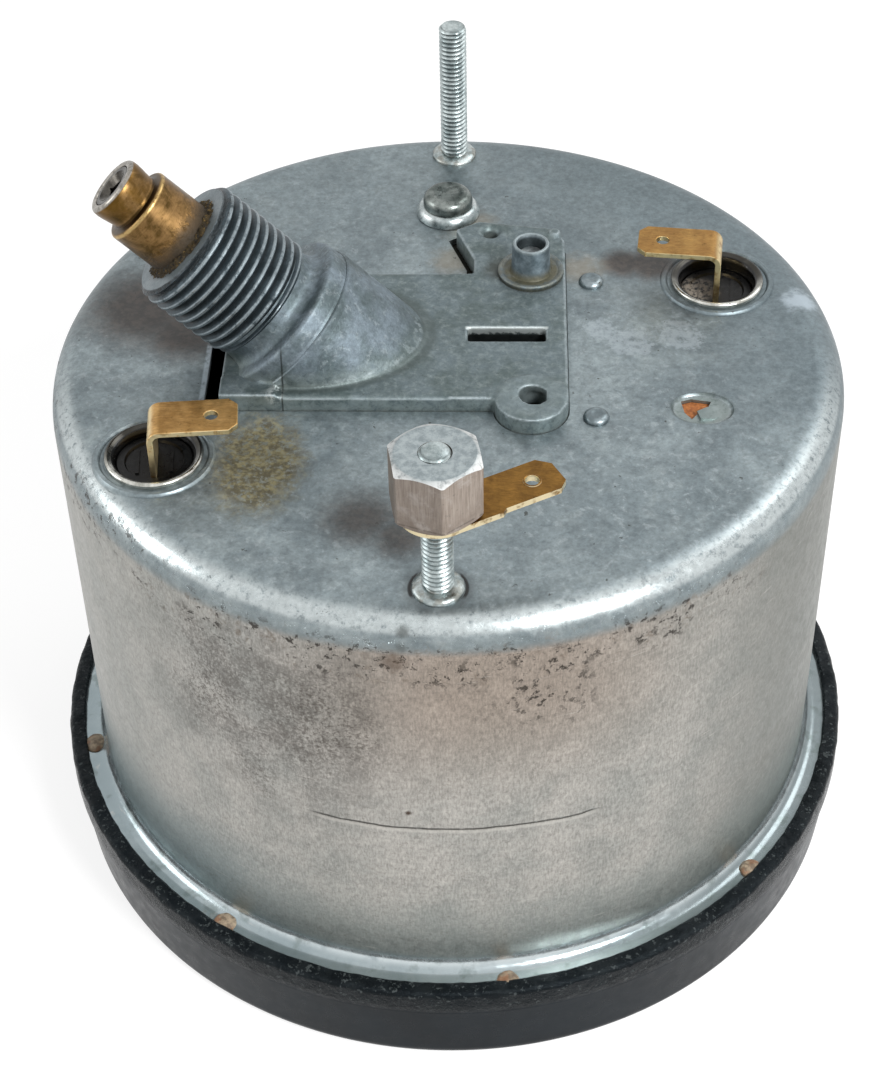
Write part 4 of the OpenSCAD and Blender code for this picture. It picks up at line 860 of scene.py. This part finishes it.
def lamp_chrome():
    """Nickel rim of the lamp shells, painted black inside as shade, dirty at the foot and painted dark on
    the far side as shade.
    """
    f = Finish("shell nickel")
    z = f.axes()["Z"]
    clouds = f.noise(0.6, 5, 0.65)
    f.base(clouds, "#a7a79f", "#dcdcd6")
    f.coat("#6a6153", f.step(z, BACK + 0.3, BACK + 0.05), f.step(clouds, 0.4, 0.6), 0.7)
    # Painted shade: the far side of each rim is dark.
    far = f.spots(*[((x, y + 9, BACK + 0.4), 10.2, 13.8) for x, y, _ in LAMPS.values()])
    f.coat("#2f2d29", far, 0.94)
    away = f.math("MINIMUM", *[f.reach(centre=(x, y)) for x, y, _ in LAMPS.values()])
    # Painted shade: black inside the shell.
    bore = f.step(away, 5.66, 5.5)
    f.coat("#090909", bore)
    f.bump(f.noise(1.6), 0.03, 0.3)
    return f.done(f.between(clouds, 0.14, 0.28), f.fade(bore, 0.95, 0.2))


def clear_glass(name, tint, rough):
    f = Finish(name, Transmission_Weight=1, IOR=1.5)
    smear = f.noise(0.06, 5, 0.6, 0.8)
    f.base(smear, tint, "#ffffff", 0.3, 0.7)
    return f.done(f.step(smear, 0.45, 0.8, rough, rough + 0.06))


def printed(name, tone, worn):
    """Screen ink or enamel with slight fading."""
    f = Finish(name)
    f.base(f.noise(0.25, 5, 0.6), tone, worn, 0.4, 0.75)
    f.bump(f.noise(3, 3), 0.01, 0.3)
    return f.done(f.between(f.noise(1.2), 0.4, 0.55))


def brown_card():
    f = Finish("hole card")
    fibre = f.noise(1.4, 5, 0.7)
    f.base(fibre, "#7c451d", "#b06f3a", 0.35, 0.65)
    f.bump(fibre, 0.1, 0.5)
    return f.done(f.between(fibre, 0.6, 0.8))


def pinch_rust():
    f = Finish("pinched rusty spots")
    clouds = f.noise(0.9, 5, 0.7)
    f.base(clouds, "#6d5d4c", "#a08f79", 0.38, 0.62)
    f.coat("#8c5a38", f.speckle(0.5, 0.62, 0.5), 0.6)
    f.vary(f.noise(2.4, 4, 0.7), 0.8, 1.15)
    f.bump(clouds, 0.2, 0.6)
    return f.done(f.between(clouds, 0.45, 0.7))


CASTING = cast_zinc("die-cast zinc")
BLADE_BRASS = {"left": sheet_brass("left blade brass", "#c59d64", "#ad8650", "#ecdcb0"),
               "right": sheet_brass("right blade brass", "#a8834c", "#946f3f", "#e6d4a4")}
STUD_ZINC = stud_zinc()
SCREW_STEEL = plated_steel("screw steel", "#8b918e", "#545c59", 0.24, 0.38, 0.5)
CHROME = lamp_chrome()
INSULATOR = moulded_black("lamp insulator black", "#050505", 0.25, 0.45, (34.7, 15.2, BACK - 1.5))
INK_WHITE = printed("dial white ink", "#e9e6da", "#cfcab8")


# The can: sheet shell with the casting's cut-out, lamp holes and beads pressed round them


def can_outline():
    bend = (56, 17)
    crown = (CAN_R - ROUND, BACK - ROUND)
    points = [(FLANGE_R, FLANGE_Z), (FLANGE_R, FLANGE_Z + SHEET)]
    points += arc(bend, 2, 270, 180, 8)
    points += [(CAN_R, z) for z in (24, 34, 44, 54, 64, 72)]
    points += arc(crown, ROUND, 0, 90, 14)
    points += [(0, BACK), (0, BACK - SHEET)]
    points += arc(crown, ROUND - SHEET, 90, 0, 10)
    points += arc(bend, 2 + SHEET, 180, 270, 8)
    return points


def build_can():
    low, high = BACK - 4, BACK + 4
    bm = lathe(can_outline(), 256)
    bead = [(8.1, -0.3), (7.85, 0.22), (7.7, 0.34), (7.25, 0.36), (7.1, 0.24), (6.95, 0.02), (6.6, -0.02),
            (6.4, -0.3)]
    for x, y, _ in LAMPS.values():
        bm = add(bm, lathe(bead, 64, shift(x, y, BACK)))
    ear = [(2.35, 13.15), (16.45, 13.15), (16.45, 21.85), (14.95, 25.1), (2.9, 26.9), (-0.35, 24.75),
           (2.35, 17.55)]
    tools = [block(-32.1, 16.45, -13.75, 14.15, low, high), prism(ear, low, high),
             rod(5.05, low, high, 48, shift(*LUG_XY))]
    tools += [rod(6, low, high, 64, shift(x, y)) for x, y, _ in LAMPS.values()]
    dish = [(0, -0.5), (2.2, -0.52), (3.2, -0.5), (3.8, -0.38), (4.15, -0.08), (4.3, 0.3), (0, 0.3)]
    oval = shift(*SPARE_HOLE, BACK) @ spin_deg(-8) @ Matrix.Diagonal((1, 0.78, 1, 1))
    tools.append(lathe(dish, 48, oval))
    wedge = [(31.2, -10.9), (32.6, -10.4), (35.2, -10.9), (34.6, -12.4), (33.3, -13.4), (32.5, -14.5),
             (31.6, -13.2)]
    tools.append(prism(wedge, low, high))
    bm = cut(bm, *tools)
    torn = [(33.2, -13.3), (34.5, -12.3), (35.4, -11.9), (36.7, -12.5), (36.9, -13.6), (35.2, -14.6),
            (33.6, -14.7)]
    flap = prism(torn, BACK - 0.75, BACK - 0.1)
    for v in flap.verts:
        if v.co.z > BACK - 0.5:
            v.co.z -= 0.13 * max(0, v.co.x - 33.2)
    add_piece("can_shell", add(bm, flap), can_zinc(), "case", 28)


def build_hole_card():
    """A brown card under the torn spare hole."""
    bm = lathe([(0, 79.9), (3.9, 79.9), (4, 80), (4, 80.4), (3.9, 80.5), (0, 80.5)], 40)
    add_piece("hole_card", bm, brown_card(), None, 30, shift(33.3, -12.4))


def build_bezel():
    """One spun ring whose lip is rolled unevenly over the flange."""
    outline = [(57.2, 15), (57.2, 15.7), (57.5, 16)]
    outline += arc((58.8, 15.2), 0.8, 90, 0, 6)
    outline += [(59.6, 13.5), (59.6, 11.8), (59.35, 11.6), (59.2, 10.4)]
    outline += arc((56.3, 2.2), 2.2, 0, -90, 8)
    outline += [(53, 0), (50.9, 0.55), (50.6, 0.8), (50.6, 1.42), (53, 1.5), (57.3, 1.5), (58.4, 11.6)]
    outline += [(58.4, 15)]
    lip = 11
    bm = lathe(outline, 320)
    for v in bm.verts:
        if v.co.z < lip:
            continue
        a = math.atan2(v.co.y, v.co.x)
        place = Vector((math.cos(a) * 9, math.sin(a) * 9, v.co.z * 0.35))
        wave = 0.5 + 0.5 * noise.noise(place * 2.2) + 0.35 * noise.noise(place * 6)
        rise = min(1, (v.co.z - lip) / 4)
        v.co.z -= 0.32 * rise * max(0, wave)
        reach = math.hypot(v.co.x, v.co.y)
        inward = 0.16 * rise * max(0, 0.5 + noise.noise(place * 4 + Vector((7, 3, 1))))
        widen(v, (reach - inward) / reach)
    add_piece("bezel_ring", bm, bezel_paint(), "bezel", 40)


def build_pinch_marks():
    """Places where the bezel was pinched over the flange, bare of paint and rusty."""
    places = ((-166.6, 55.8), (-123.9, 56.5), (-81.3, 57.2), (-39.9, 56.8), (35, 57), (118, 57))
    size = Matrix.Diagonal((1.75, 1.7, 0.7, 1))
    marks = []
    for degrees, radius in places:
        bm = bmesh.new()
        bmesh.ops.create_uvsphere(bm, u_segments=28, v_segments=16, radius=1)
        for v in bm.verts:
            v.co *= 1 + 0.16 * noise.noise(v.co * 1.6 + Vector((degrees, 0, 0)))
        marks.append(moved(bm, spin_deg(degrees) @ shift(radius, 0, 15.1) @ size))
    add_piece("pinch_marks", joined(*marks), pinch_rust(), None, 40)


# The casting: remeshed so that its plate, elbow, lug and pads flow together


def plate_with_holes():
    low, through, top = SPLIT_Z, SPLIT_Z - 2, PLATE_TOP + 2
    plate = block(PLATE_LEFT, 16.3, -13.6, 14, low, PLATE_TOP)
    ear = [(3.4, 13), (16.3, 13), (16.3, 21.7), (14.8, 24.8), (4, 26.6), (0.7, 24.6), (3.4, 17.4)]
    lug = rod(4.9, low, PLATE_TOP + 0.02, 64, shift(*LUG_XY))
    bm = add(plate, prism(ear, low, PLATE_TOP), lug)
    d_hole = prism(arc((11.75, -12.8), 2, 37, 323, 28), through, top)
    countersink = [(0, -4), (1, -4), (1, -0.6), (1.7, 0.1), (1.7, 1), (0, 1)]
    countersink = lathe(countersink, 40, shift(5.7, 23.9, PLATE_TOP))
    return cut(bm, block(2.8, 13.4, -1.4, 1.6, through, top), d_hole, countersink,
               rod(1.9, through, top, 40, shift(*RESET_XY)))


def build_casting():
    top = PLATE_TOP
    floor = ((0, 0, SPLIT_Z), (0, 0, -1))
    left = ((PLATE_LEFT, 0, 0), (-1, 0, 0))
    shank = clipped(rod(11.35, -46, -17.6, 120, DRIVE), left, floor)
    elbow = clipped(rod(11.75, -50, -19.1, 120, DRIVE), ((ELBOW_LEFT, 0, 0), (-1, 0, 0)), floor)
    foot = block(PLATE_LEFT, -22.3, -13.6, -9.5, SPLIT_Z + 0.2, top + 0.35)
    pad = [(2.4, top - 1), (4.55, top - 1), (4.55, top + 0.16), (2.4, top + 0.16)]
    pip = [(0, top - 1), (0.95, top - 1), (0.9, top + 0.35), (0.65, top + 0.5), (0, top + 0.5)]
    bm = joined(plate_with_holes(), shank, elbow, foot, lathe(pad, 64, shift(*LUG_XY)),
                lathe(pip, 24, shift(14.8, 23.4)))
    bm = worked(bm, ("REMESH", {"mode": "VOXEL", "voxel_size": 0.24}),
                ("SMOOTH", {"factor": 0.5, "iterations": 2}))
    smoothed(bm, [v for v in bm.verts if v.co.z > top + 0.5 and v.co.x > -21.5], 14)
    smoothed(bm, [v for v in bm.verts if top - 0.3 < v.co.z < top + 1.3 and -21.5 < v.co.x < 0.5], 8)
    add_piece("casting_top", bm, CASTING, "frame_casting", 60)
    neck = [(5.3, -12.6), (8.4, -12.6), (8.4, -14.4)] + arc((9.9, -14.6), 1.5, 180, 262, 7)
    neck += [(10.6, -16.1)] + arc((10.75, -16.75), 0.6, 85, 0, 5)
    neck += [(11.38, -18.45), (11.12, -18.6), (11.12, -19.3), (5.3, -19.3)]
    collar = clipped(lathe(neck, 144, DRIVE), left, floor)
    rim = [(10.9, -18.85), (11.6, -18.85), (11.79, -19), (11.79, -19.4), (11.7, -20.6), (10.9, -20.6)]
    rim = clipped(lathe(rim, 144, DRIVE), ((-22.75, 0, 0), (-1, 0, 0)), ((0, 0, top - 0.4), (0, 0, -1)))
    add_piece("casting_collar", joined(collar, rim), CASTING, "frame_casting", 30)


def build_casting_base():
    """The casting's inside: flange, bearings and pillars, taken from the solid below the back."""
    bm = bmesh.new()
    bm.from_mesh(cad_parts["frame_casting"].data)
    bmesh.ops.scale(bm, vec=(1 / MM, 1 / MM, 1 / MM), verts=bm.verts)
    tidy_mesh(bm, COARSE_MERGE)
    bm = clipped(bm, ((0, 0, SPLIT_Z), (0, 0, 1)))
    # Painted shade: the casting's inside takes a near-black copy of the casting's finish, being seen only in
    # shadow.
    shade = plated_steel("die-cast zinc, painted dark as shade", "#1b1d1e", "#0c0d0e", 0.5, 0.7, 0.8)
    add_piece("casting_base", bm, shade, "frame_casting", 30)


def build_cable_thread():
    bar = screw_thread(8.95, 0.88, 1.5, -13.9, 0, 96, 0.7)
    bm = cut(bar, lathe([(0, -20), (5.22, -20), (5.22, -0.9), (5.9, 0.3), (0, 0.3)], 64))
    for v in bm.verts:
        chip = noise.noise(v.co * 0.55) + 0.5 * noise.noise(v.co * 1.7) - 0.55
        if math.hypot(v.co.x, v.co.y) > 8.3 and chip > 0:
            widen(v, 1 - 0.02 * chip)
    add_piece("cable_thread", bm, thread_zinc(), "frame_casting", 32, DRIVE)


def build_trip_boss():
    top = PLATE_TOP
    outline = [(1.66, SPLIT_Z), (1.85, SPLIT_Z), (1.85, top - 0.3), (4.5, top - 0.3), (4.62, top + 0.1),
               (4.58, top + 0.6), (4.4, top + 0.76), (4.05, top + 0.72), (3.8, top + 0.5), (3, top + 0.52),
               (2.74, top + 0.9), (2.56, 88.5), (2.48, 88.74), (2.32, 88.82), (2.08, 88.74), (1.92, 88.2),
               (1.66, 87.4)]
    bm = lathe(outline, 64)
    add_piece("casting_trip_boss", bm, boss_zinc(), "frame_casting", 40, shift(*RESET_XY))


def build_drive_sleeve():
    """The turned brass sleeve and the grease caked round its root."""
    outline = [(3.05, -11), (5.2, -11), (5.2, 7.2)]
    outline += arc((4.75, 7.35), 0.45, 0, 90, 5)
    outline += [(4.3, 7.82), (3.98, 7.95), (3.9, 8.15), (3.93, 8.6), (4.02, 9.3), (4.14, 10.1), (4.2, 10.9)]
    outline += arc((3.55, 11.35), 0.62, 5, 80, 5)
    outline += [(3.35, 11.93), (3.15, 11.85), (3.05, 11.6)]
    bm = lathe(outline)
    add_piece("drive_sleeve_turned", bm, sleeve_brass(), "drive_sleeve", 35, DRIVE)
    ring = lathe([(5.1, -0.6), (6.1, -0.5), (6.35, -0.1), (6, 0.18), (5.6, 0.4), (5.15, 0.6)], 140)
    bmesh.ops.subdivide_edges(ring, edges=ring.edges[:], cuts=1, use_grid_fill=True)
    for v in ring.verts:
        if v.co.z < -0.3 or math.hypot(v.co.x, v.co.y) < 5.2:
            continue
        push = noise.noise(v.co * 1.2) + 0.7 * noise.noise(v.co * 3.1)
        v.co.z += 0.34 * push
        widen(v, 1 + 0.04 * push)
    add_piece("boss_grease", ring, grease_grime(), None, 50, DRIVE)


# Studs, nut and earth tag


def build_stud(name, y, height, node):
    bar = screw_thread(STUD_R, 0.42, STUD_PITCH, 0.6, height, 40, 0.3)
    shoulder = [(0, -2.2), (1.7, -2.2), (1.7, -0.2), (2.6, -0.2), (3.3, 0), (3.3, 0.28), (3.15, 0.5),
                (2.75, 0.7), (2.2, 0.86), (0, 0.86)]
    base = lathe(shoulder, 48)
    for v in base.verts:
        reach = math.hypot(v.co.x, v.co.y)
        if reach > 2.6:
            dent = 0.06 * max(0, math.cos(12 * math.atan2(v.co.y, v.co.x)))
            widen(v, (reach - dent) / reach)
    add_piece(name, joined(bar, base), STUD_ZINC, node, 40, shift(0, y, BACK))


def build_nut():
    """A hexagon with both faces chamfered and slightly blunt corners, and a washer face below."""
    height, half, corner, bore = 8.2, 5.2, 5.9, 2.04
    outline = [(bore, 0), (4.8, 0), (5.3, 0.4), (5.3, height - 0.4), (5, height - 0.06), (4.85, height),
               (bore, height)]
    bm = lathe(outline, 240)
    for v in bm.verts:
        if math.hypot(v.co.x, v.co.y) < 5.15:
            continue
        a = math.atan2(v.co.y, v.co.x)
        to_flat = (math.degrees(a) % 60) - 30
        reach = min(half / math.cos(math.radians(to_flat)), corner)
        chamfer = max(0.06, (reach - 4.95) * 0.62)
        low = v.co.z < height / 2
        v.co = Vector((reach * math.cos(a), reach * math.sin(a), chamfer if low else height - chamfer))
    spigot = [(bore, 0.6), (bore, -1.5), (3.5, -1.5), (3.68, -1.35), (3.6, -1.12), (3.2, -1.1), (3.2, 0.6)]
    place = shift(0, -STUD_Y, 94.9) @ spin_deg(40)
    bm = joined(bm, lathe(spigot, 64))
    add_piece("earth_nut_hex", bm, nut_steel(), "earth_nut", 12, place, "nut_body")


def build_tag():
    low = -BLADE_W / 2 - 1.4
    high = low + BLADE_W
    hole = shift(12.1, -1.4)
    blade = [(0, low - 0.1), (6.5, low - 0.1), (7.1, low + 0.35), (14.5, low + 0.35), (15.7, low + 1.4),
             (15.7, high - 1.5), (14.2, high), (0, high)]
    bm = add(prism(blade, 0, BLADE_T), rod(4.7, 0, BLADE_T, 72))
    bm = cut(bm, rod(3.26, -1, 2, 64), rod(BLADE_HOLE_R, -1, 2, 32, hole))
    bm = round_edges(bm, 0.1)
    rim = arc((1, 0), 0.14, 0, 360, 8)[:-1]
    bm = joined(bm, lathe(rim, 32, hole @ shift(0, 0, BLADE_T)))
    brass = sheet_brass("earth tag brass", "#8a6632", "#705128", "#ece0bb", TAG_TURN)
    place = shift(0, -STUD_Y, 93.98) @ spin_deg(TAG_TURN)
    add_piece("earth_tag_stamped", bm, brass, "earth_tag", 18, place, "tag_body")


def build_lamp(side, deep):
    """Plated shell, moulded insulator with its face at a depth, and bent brass blade."""
    x, y, turn = LAMPS[side]
    lamp = side + "_lamp_"
    place = shift(x, y, BACK) @ spin_deg(turn)

    def fit(part, made, bm, finish, sharp):
        add_piece(lamp + part + made, bm, finish, lamp + part, sharp, place, lamp + "body")

    shell = [(5.1, -14), (5.9, -14), (5.9, -0.02), (6.35, 0)]
    shell += arc((6.1, 0.4), 0.37, -20, 150, 7)
    shell += [(5.55, 0.5), (5.35, 0.3), (5.12, -0.1)]
    fit("shell", "_rolled", lathe(shell), CHROME, 40)
    disc = [(0, -3.6), (5.08, -3.6), (5.08, deep), (4.85, deep + 0.2), (3.9, deep + 0.3), (3.7, deep),
            (0, deep)]
    ribs = [block(s * 2.2 - 0.25, s * 2.2 + 0.25, -2.4, 2.4, -2.2, deep + 0.2) for s in (-1, 1)]
    bm = cut(add(lathe(disc, 64), *ribs), block(-0.42, 0.42, -3.17, 3.17, -4, 1))
    fit("insulator", "_moulded", bm, INSULATOR, 30)
    top, tip, half = 6.5, 11.3, BLADE_T / 2
    bend = (1 + half, top - 1 - BLADE_T)
    outline = [(half, -4.5), (-half, -4.5)] + arc(bend, 1 + BLADE_T, 180, 90, 8)
    outline += [(tip, top), (tip, top - BLADE_T)] + arc(bend, 1, 90, 180, 8)
    strip = moved(prism(outline, -BLADE_W / 2, BLADE_W / 2), spin_deg(90, "X"))
    corners = [rod(1.15, top - 3, top + 3, 4, shift(tip, s * BLADE_W / 2)) for s in (-1, 1)]
    strip = cut(strip, rod(BLADE_HOLE_R, top - 3, top + 3, 32, shift(7.9, 0)), *corners)
    fit("blade", "_bent", round_edges(strip, 0.1), BLADE_BRASS[side], 18)


def build_back_screw():
    place = shift(*SCREW_XY, BACK)
    washer = [(1.3, 0), (4.5, 0), (4.6, 0.12), (4.52, 0.6), (4.2, 1.2), (3.95, 1.45), (3.6, 1.55),
              (1.3, 1.55)]
    zinc = plated_steel("washer zinc", "#c6cdcd", "#8d9899", 0.24, 0.38, 0.5)
    add_piece("back_washer_turned", lathe(washer, 64), zinc, "back_washer", 40, place)
    head = [(0, -5), (1.25, -5), (1.25, 1.5), (3.4, 1.5), (3.58, 1.65), (3.6, 2.3), (3.45, 2.85),
            (3.1, 3.25), (2.7, 3.45), (1.9, 3.5), (1.5, 3.4), (0, 3.36)]
    bm = lathe(head, 64)
    add_piece("back_screw_turned", bm, SCREW_STEEL, "back_screw", 35, place)


def build_rivets():
    outline = [(0, -5.4), (1.2, -5.4), (1.2, -0.02), (1.72, 0), (1.75, 0.16), (1.6, 0.5), (1.25, 0.72),
               (0.8, 0.8), (0.62, 0.72), (0.35, 0.7), (0, 0.7)]
    heads = [lathe(outline, 40, shift(x, y, BACK)) for x, y in RIVETS]
    zinc = plated_steel("rivet zinc", "#9aa5a9", "#6f7a7e", 0.28, 0.42, 0.6)
    add_piece("frame_rivet_heads", joined(*heads), zinc, "frame_rivets", 40)


# Dial print and the figures on the number drums


def figure(text, height):
    """Flat outline of a number, centred, as a mesh in the XY plane."""
    curve = bpy.data.curves.new("figure", "FONT")
    curve.body = text
    curve.size = height * 1.4
    curve.align_x = "CENTER"
    curve.align_y = "CENTER"
    curve.resolution_u = 4
    obj = bpy.data.objects.new("figure", curve)
    bpy.context.scene.collection.objects.link(obj)
    done = obj.evaluated_get(bpy.context.evaluated_depsgraph_get())
    bm = bmesh.new()
    bm.from_mesh(done.to_mesh())
    done.to_mesh_clear()
    bpy.data.objects.remove(obj)
    bpy.data.curves.remove(curve)
    bmesh.ops.remove_doubles(bm, verts=bm.verts, dist=MERGE)
    return bm


def build_dial_print():
    low, high = DIAL_Z - INK, DIAL_Z
    marks = []
    for speed in range(0, 121, 2):
        turn = -45 + 250 * speed / 120
        inner, half = (44, 0.5) if speed % 20 == 0 else (45.2, 0.32) if speed % 10 == 0 else (46.6, 0.16)
        marks.append(moved(block(inner, 48.4, -half, half, low, high), spin_deg(turn)))
        if speed % 20 == 0:
            number = figure(str(speed), 5.2)
            number = raised(number, number.faces[:], INK)
            marks.append(moved(number, shift(*polar(turn, 30.4, DIAL_Z)) @ spin_deg(180, "Y")))
    for inner, outer in ((48.9, 49.3), (16.9, 17.05)):
        marks.append(lathe([(inner, low), (outer, low), (outer, high), (inner, high)], 180))
    for y, half, middle in ((22, 9.6, -1.05), (-22, 11, 0.35)):
        for side in (-1, 1):
            marks.append(moved(block(-half, half, -0.12, 0.12, low, high), shift(middle, y + side * 3.6)))
    add_piece("dial_print", joined(*marks), INK_WHITE, None, 30)


def build_drum_figures(kind, count, pitch, y):
    """Figures 0 to 9 wrapped round each drum; the first drum stands at the right of the window."""
    axis_z, reach, left_edge, gap = 23.1, 6.7, -9.7, 0.3
    for i in range(count):
        middle = left_edge + pitch * i + (pitch - gap) / 2
        ring = []
        for digit in range(10):
            bm = figure(str(digit), 2.9)
            bm = raised(bm, bm.faces[:], 0.03)
            bmesh.ops.subdivide_edges(bm, edges=[e for e in bm.edges if e.calc_length() > 0.8], cuts=1)
            for v in bm.verts:
                a = math.radians(36 * digit) + v.co.y / reach
                r = reach + v.co.z
                v.co = Vector((middle - v.co.x, y + r * math.sin(a), axis_z - r * math.cos(a)))
            ring.append(bm)
        name = "%s_drum_%d" % (kind, i + 1)
        add_piece(name + "_figures", joined(*ring), INK_WHITE, None, 30, None, name + "_body")


build_can()
build_hole_card()
build_bezel()
build_pinch_marks()
build_casting()
build_casting_base()
build_cable_thread()
build_trip_boss()
build_drive_sleeve()
build_stud("near_stud_threaded", -STUD_Y, 21.95, "near_stud")
build_stud("far_stud_threaded", STUD_Y, 22, "far_stud")
build_nut()
build_tag()
build_lamp("left", -0.75)
build_lamp("right", -1.6)
build_back_screw()
build_rivets()
build_dial_print()
build_drum_figures("counter", 6, 3.4, -22)
build_drum_figures("trip", 4, 4.4, 22)


# Finishes of the nodes that keep their own solids


def dress_solids(finish, *names):
    for name in names:
        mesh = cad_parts[name].data
        mesh.materials.clear()
        mesh.materials.append(finish)


dress_solids(moulded_black("gasket rubber", "#1a1a1a", 0.55, 0.75), "front_gasket", "rear_gasket")
dress_solids(clear_glass("dial glass", "#eef4f2", 0.01), "glass")
dress_solids(clear_glass("bulb glass", "#f3efe0", 0.02), "left_lamp_bulb", "right_lamp_bulb")
dress_solids(printed("dial matt black", "#141414", "#1f1f1e"), "shroud", "dial")
dress_solids(printed("pointer orange enamel", "#d2501c", "#b9431a"), "pointer")
dress_solids(printed("drum black", "#161616", "#242322"), *["counter_drum_%d" % i for i in range(1, 7)],
             *["trip_drum_%d" % i for i in range(1, 5)])
dress_solids(INSULATOR, "pointer_hub")
dress_solids(SCREW_STEEL, "dial_screws", "stop_pin", "bridge_screws", "movement_screws")
dress_solids(plated_steel("ground shaft steel", "#a7a9aa", "#7d8082", 0.22, 0.36, 0.3),
             "pointer_staff", "magnet_spindle", "layshaft", "counter_shaft", "trip_shaft")
# Painted shade: the input spindle is dark oily steel, darkened further so its socket reads as a dark hole.
dress_solids(plated_steel("oily socket steel, darkened as shade", "#6b6862", "#2e2b27", 0.18, 0.34, 0.8, 2), "input_spindle")
dress_solids(plated_steel("reset spindle steel", "#c9cccc", "#9ea2a3"), "reset_spindle")
dress_solids(plated_steel("speed cup aluminium", "#d5d7d8", "#b9bcbe", 0.3, 0.42), "speed_cup")
dress_solids(plated_steel("hairspring bronze", "#b98d4f", "#8f6a36", 0.25, 0.4), "hairspring")
dress_solids(plated_steel("bridge steel", "#b9bcc0", "#93979b"), "pointer_bridge")
dress_solids(plated_steel("magnet alloy", "#6f7375", "#4d5153", 0.4, 0.55), "magnet")
dress_solids(plated_steel("ring steel", "#9b9ea0", "#75797b"), "flux_ring")
dress_solids(plated_steel("gear brass", "#c29a54", "#9c7636", 0.25, 0.4),
             "magnet_gear", "input_gear", "layshaft_wheel", "reset_wheel")
dress_solids(plated_steel("bush bronze", "#a8763e", "#7f5426"), "rear_bush", "front_bush")
dress_solids(cast_zinc("movement die-cast zinc"), "movement_plate")


# Stage: pale floor, soft lamps, white surroundings and the camera


def white_rays(tree):
    """One for rays that see the background straight, in a reflection or through glass."""
    path = new_node(tree, "LightPath").outputs
    total = path["Is Camera Ray"]
    for name in ("Is Glossy Ray", "Is Transmission Ray"):
        total = new_node(tree, "Math", {0: total, 1: path[name]}, operation="MAXIMUM").outputs[0]
    return total


def floor_paint():
    """Matt floor that looks white, takes the shadow and is clear from below."""
    material = bpy.data.materials.new("pale floor")
    material.use_nodes = True
    tree = material.node_tree
    tree.nodes.clear()
    matt = new_node(tree, "BsdfDiffuse", {"Color": (FLOOR_GREY, FLOOR_GREY, FLOOR_GREY, 1)})
    level = new_node(tree, "Math", {0: white_rays(tree), 1: FLOOR_GLOW}, operation="MULTIPLY")
    glow = new_node(tree, "Emission", {"Strength": level.outputs[0]})
    both = new_node(tree, "AddShader", {0: matt.outputs[0], 1: glow.outputs[0]})
    below = new_node(tree, "NewGeometry").outputs["Backfacing"]
    clear = new_node(tree, "BsdfTransparent")
    pick = new_node(tree, "MixShader", {0: below, 1: both.outputs[0], 2: clear.outputs[0]})
    new_node(tree, "OutputMaterial", {"Surface": pick.outputs[0]})
    return material


def studio_world():
    world = bpy.data.worlds.new("studio")
    world.use_nodes = True
    tree = world.node_tree
    level = new_node(tree, "MapRange", {"Value": white_rays(tree), "To Min": ROOM_LIGHT, "To Max": 1})
    background = tree.nodes["Background"]
    background.inputs["Color"].default_value = (1, 1, 1, 1)
    feed(tree, background.inputs["Strength"], level.outputs["Result"])
    return world


def build_stage():
    scene = bpy.context.scene
    scene.view_settings.view_transform = "Standard"
    scene.world = studio_world()
    bm = bmesh.new()
    bmesh.ops.create_grid(bm, x_segments=1, y_segments=1, size=4)
    mesh = bpy.data.meshes.new("floor")
    bm.to_mesh(mesh)
    bm.free()
    mesh.materials.append(floor_paint())
    floor = bpy.data.objects.new("floor", mesh)
    scene.collection.objects.link(floor)
    aim = Vector((0, 0, 0.06))
    lamps = (("key", (0.32, -0.42, 0.52), 0.2, 4.6), ("back", (0.42, 0.3, 0.62), 0.4, 1.2),
             ("left", (-0.7, -0.04, 0.4), 0.4, 1.3))
    for name, place, size, watts in lamps:
        lamp = bpy.data.lights.new(name, "AREA")
        lamp.shape = "DISK"
        lamp.size = size
        lamp.energy = watts
        obj = bpy.data.objects.new(name, lamp)
        obj.location = place
        obj.rotation_euler = (aim - Vector(place)).to_track_quat("-Z", "Y").to_euler()
        scene.collection.objects.link(obj)


def build_camera():
    """The camera that took the photograph, as fitted to the can, the bezel and the studs."""
    forward = Vector((-0.02735, 0.73204, -0.68071))
    right = Vector((0.9993, 0.03734, 0))
    up = Vector((-0.02542, 0.68024, 0.73255))
    roll = 0.021
    across = (right * math.cos(roll) - up * math.sin(roll)).normalized()
    above = (right * math.sin(roll) + up * math.cos(roll)).normalized()
    turn = Matrix((across, above, -forward)).transposed()
    data = bpy.data.cameras.new("camera")
    data.lens = 75.686
    data.sensor_width = 36
    data.sensor_fit = "AUTO"
    data.clip_start = 0.01
    obj = bpy.data.objects.new("camera", data)
    obj.matrix_world = Matrix.Translation((0.00861, -0.24434, 0.27286)) @ turn.to_4x4()
    bpy.context.scene.collection.objects.link(obj)
    bpy.context.scene.camera = obj


build_stage()
build_camera()
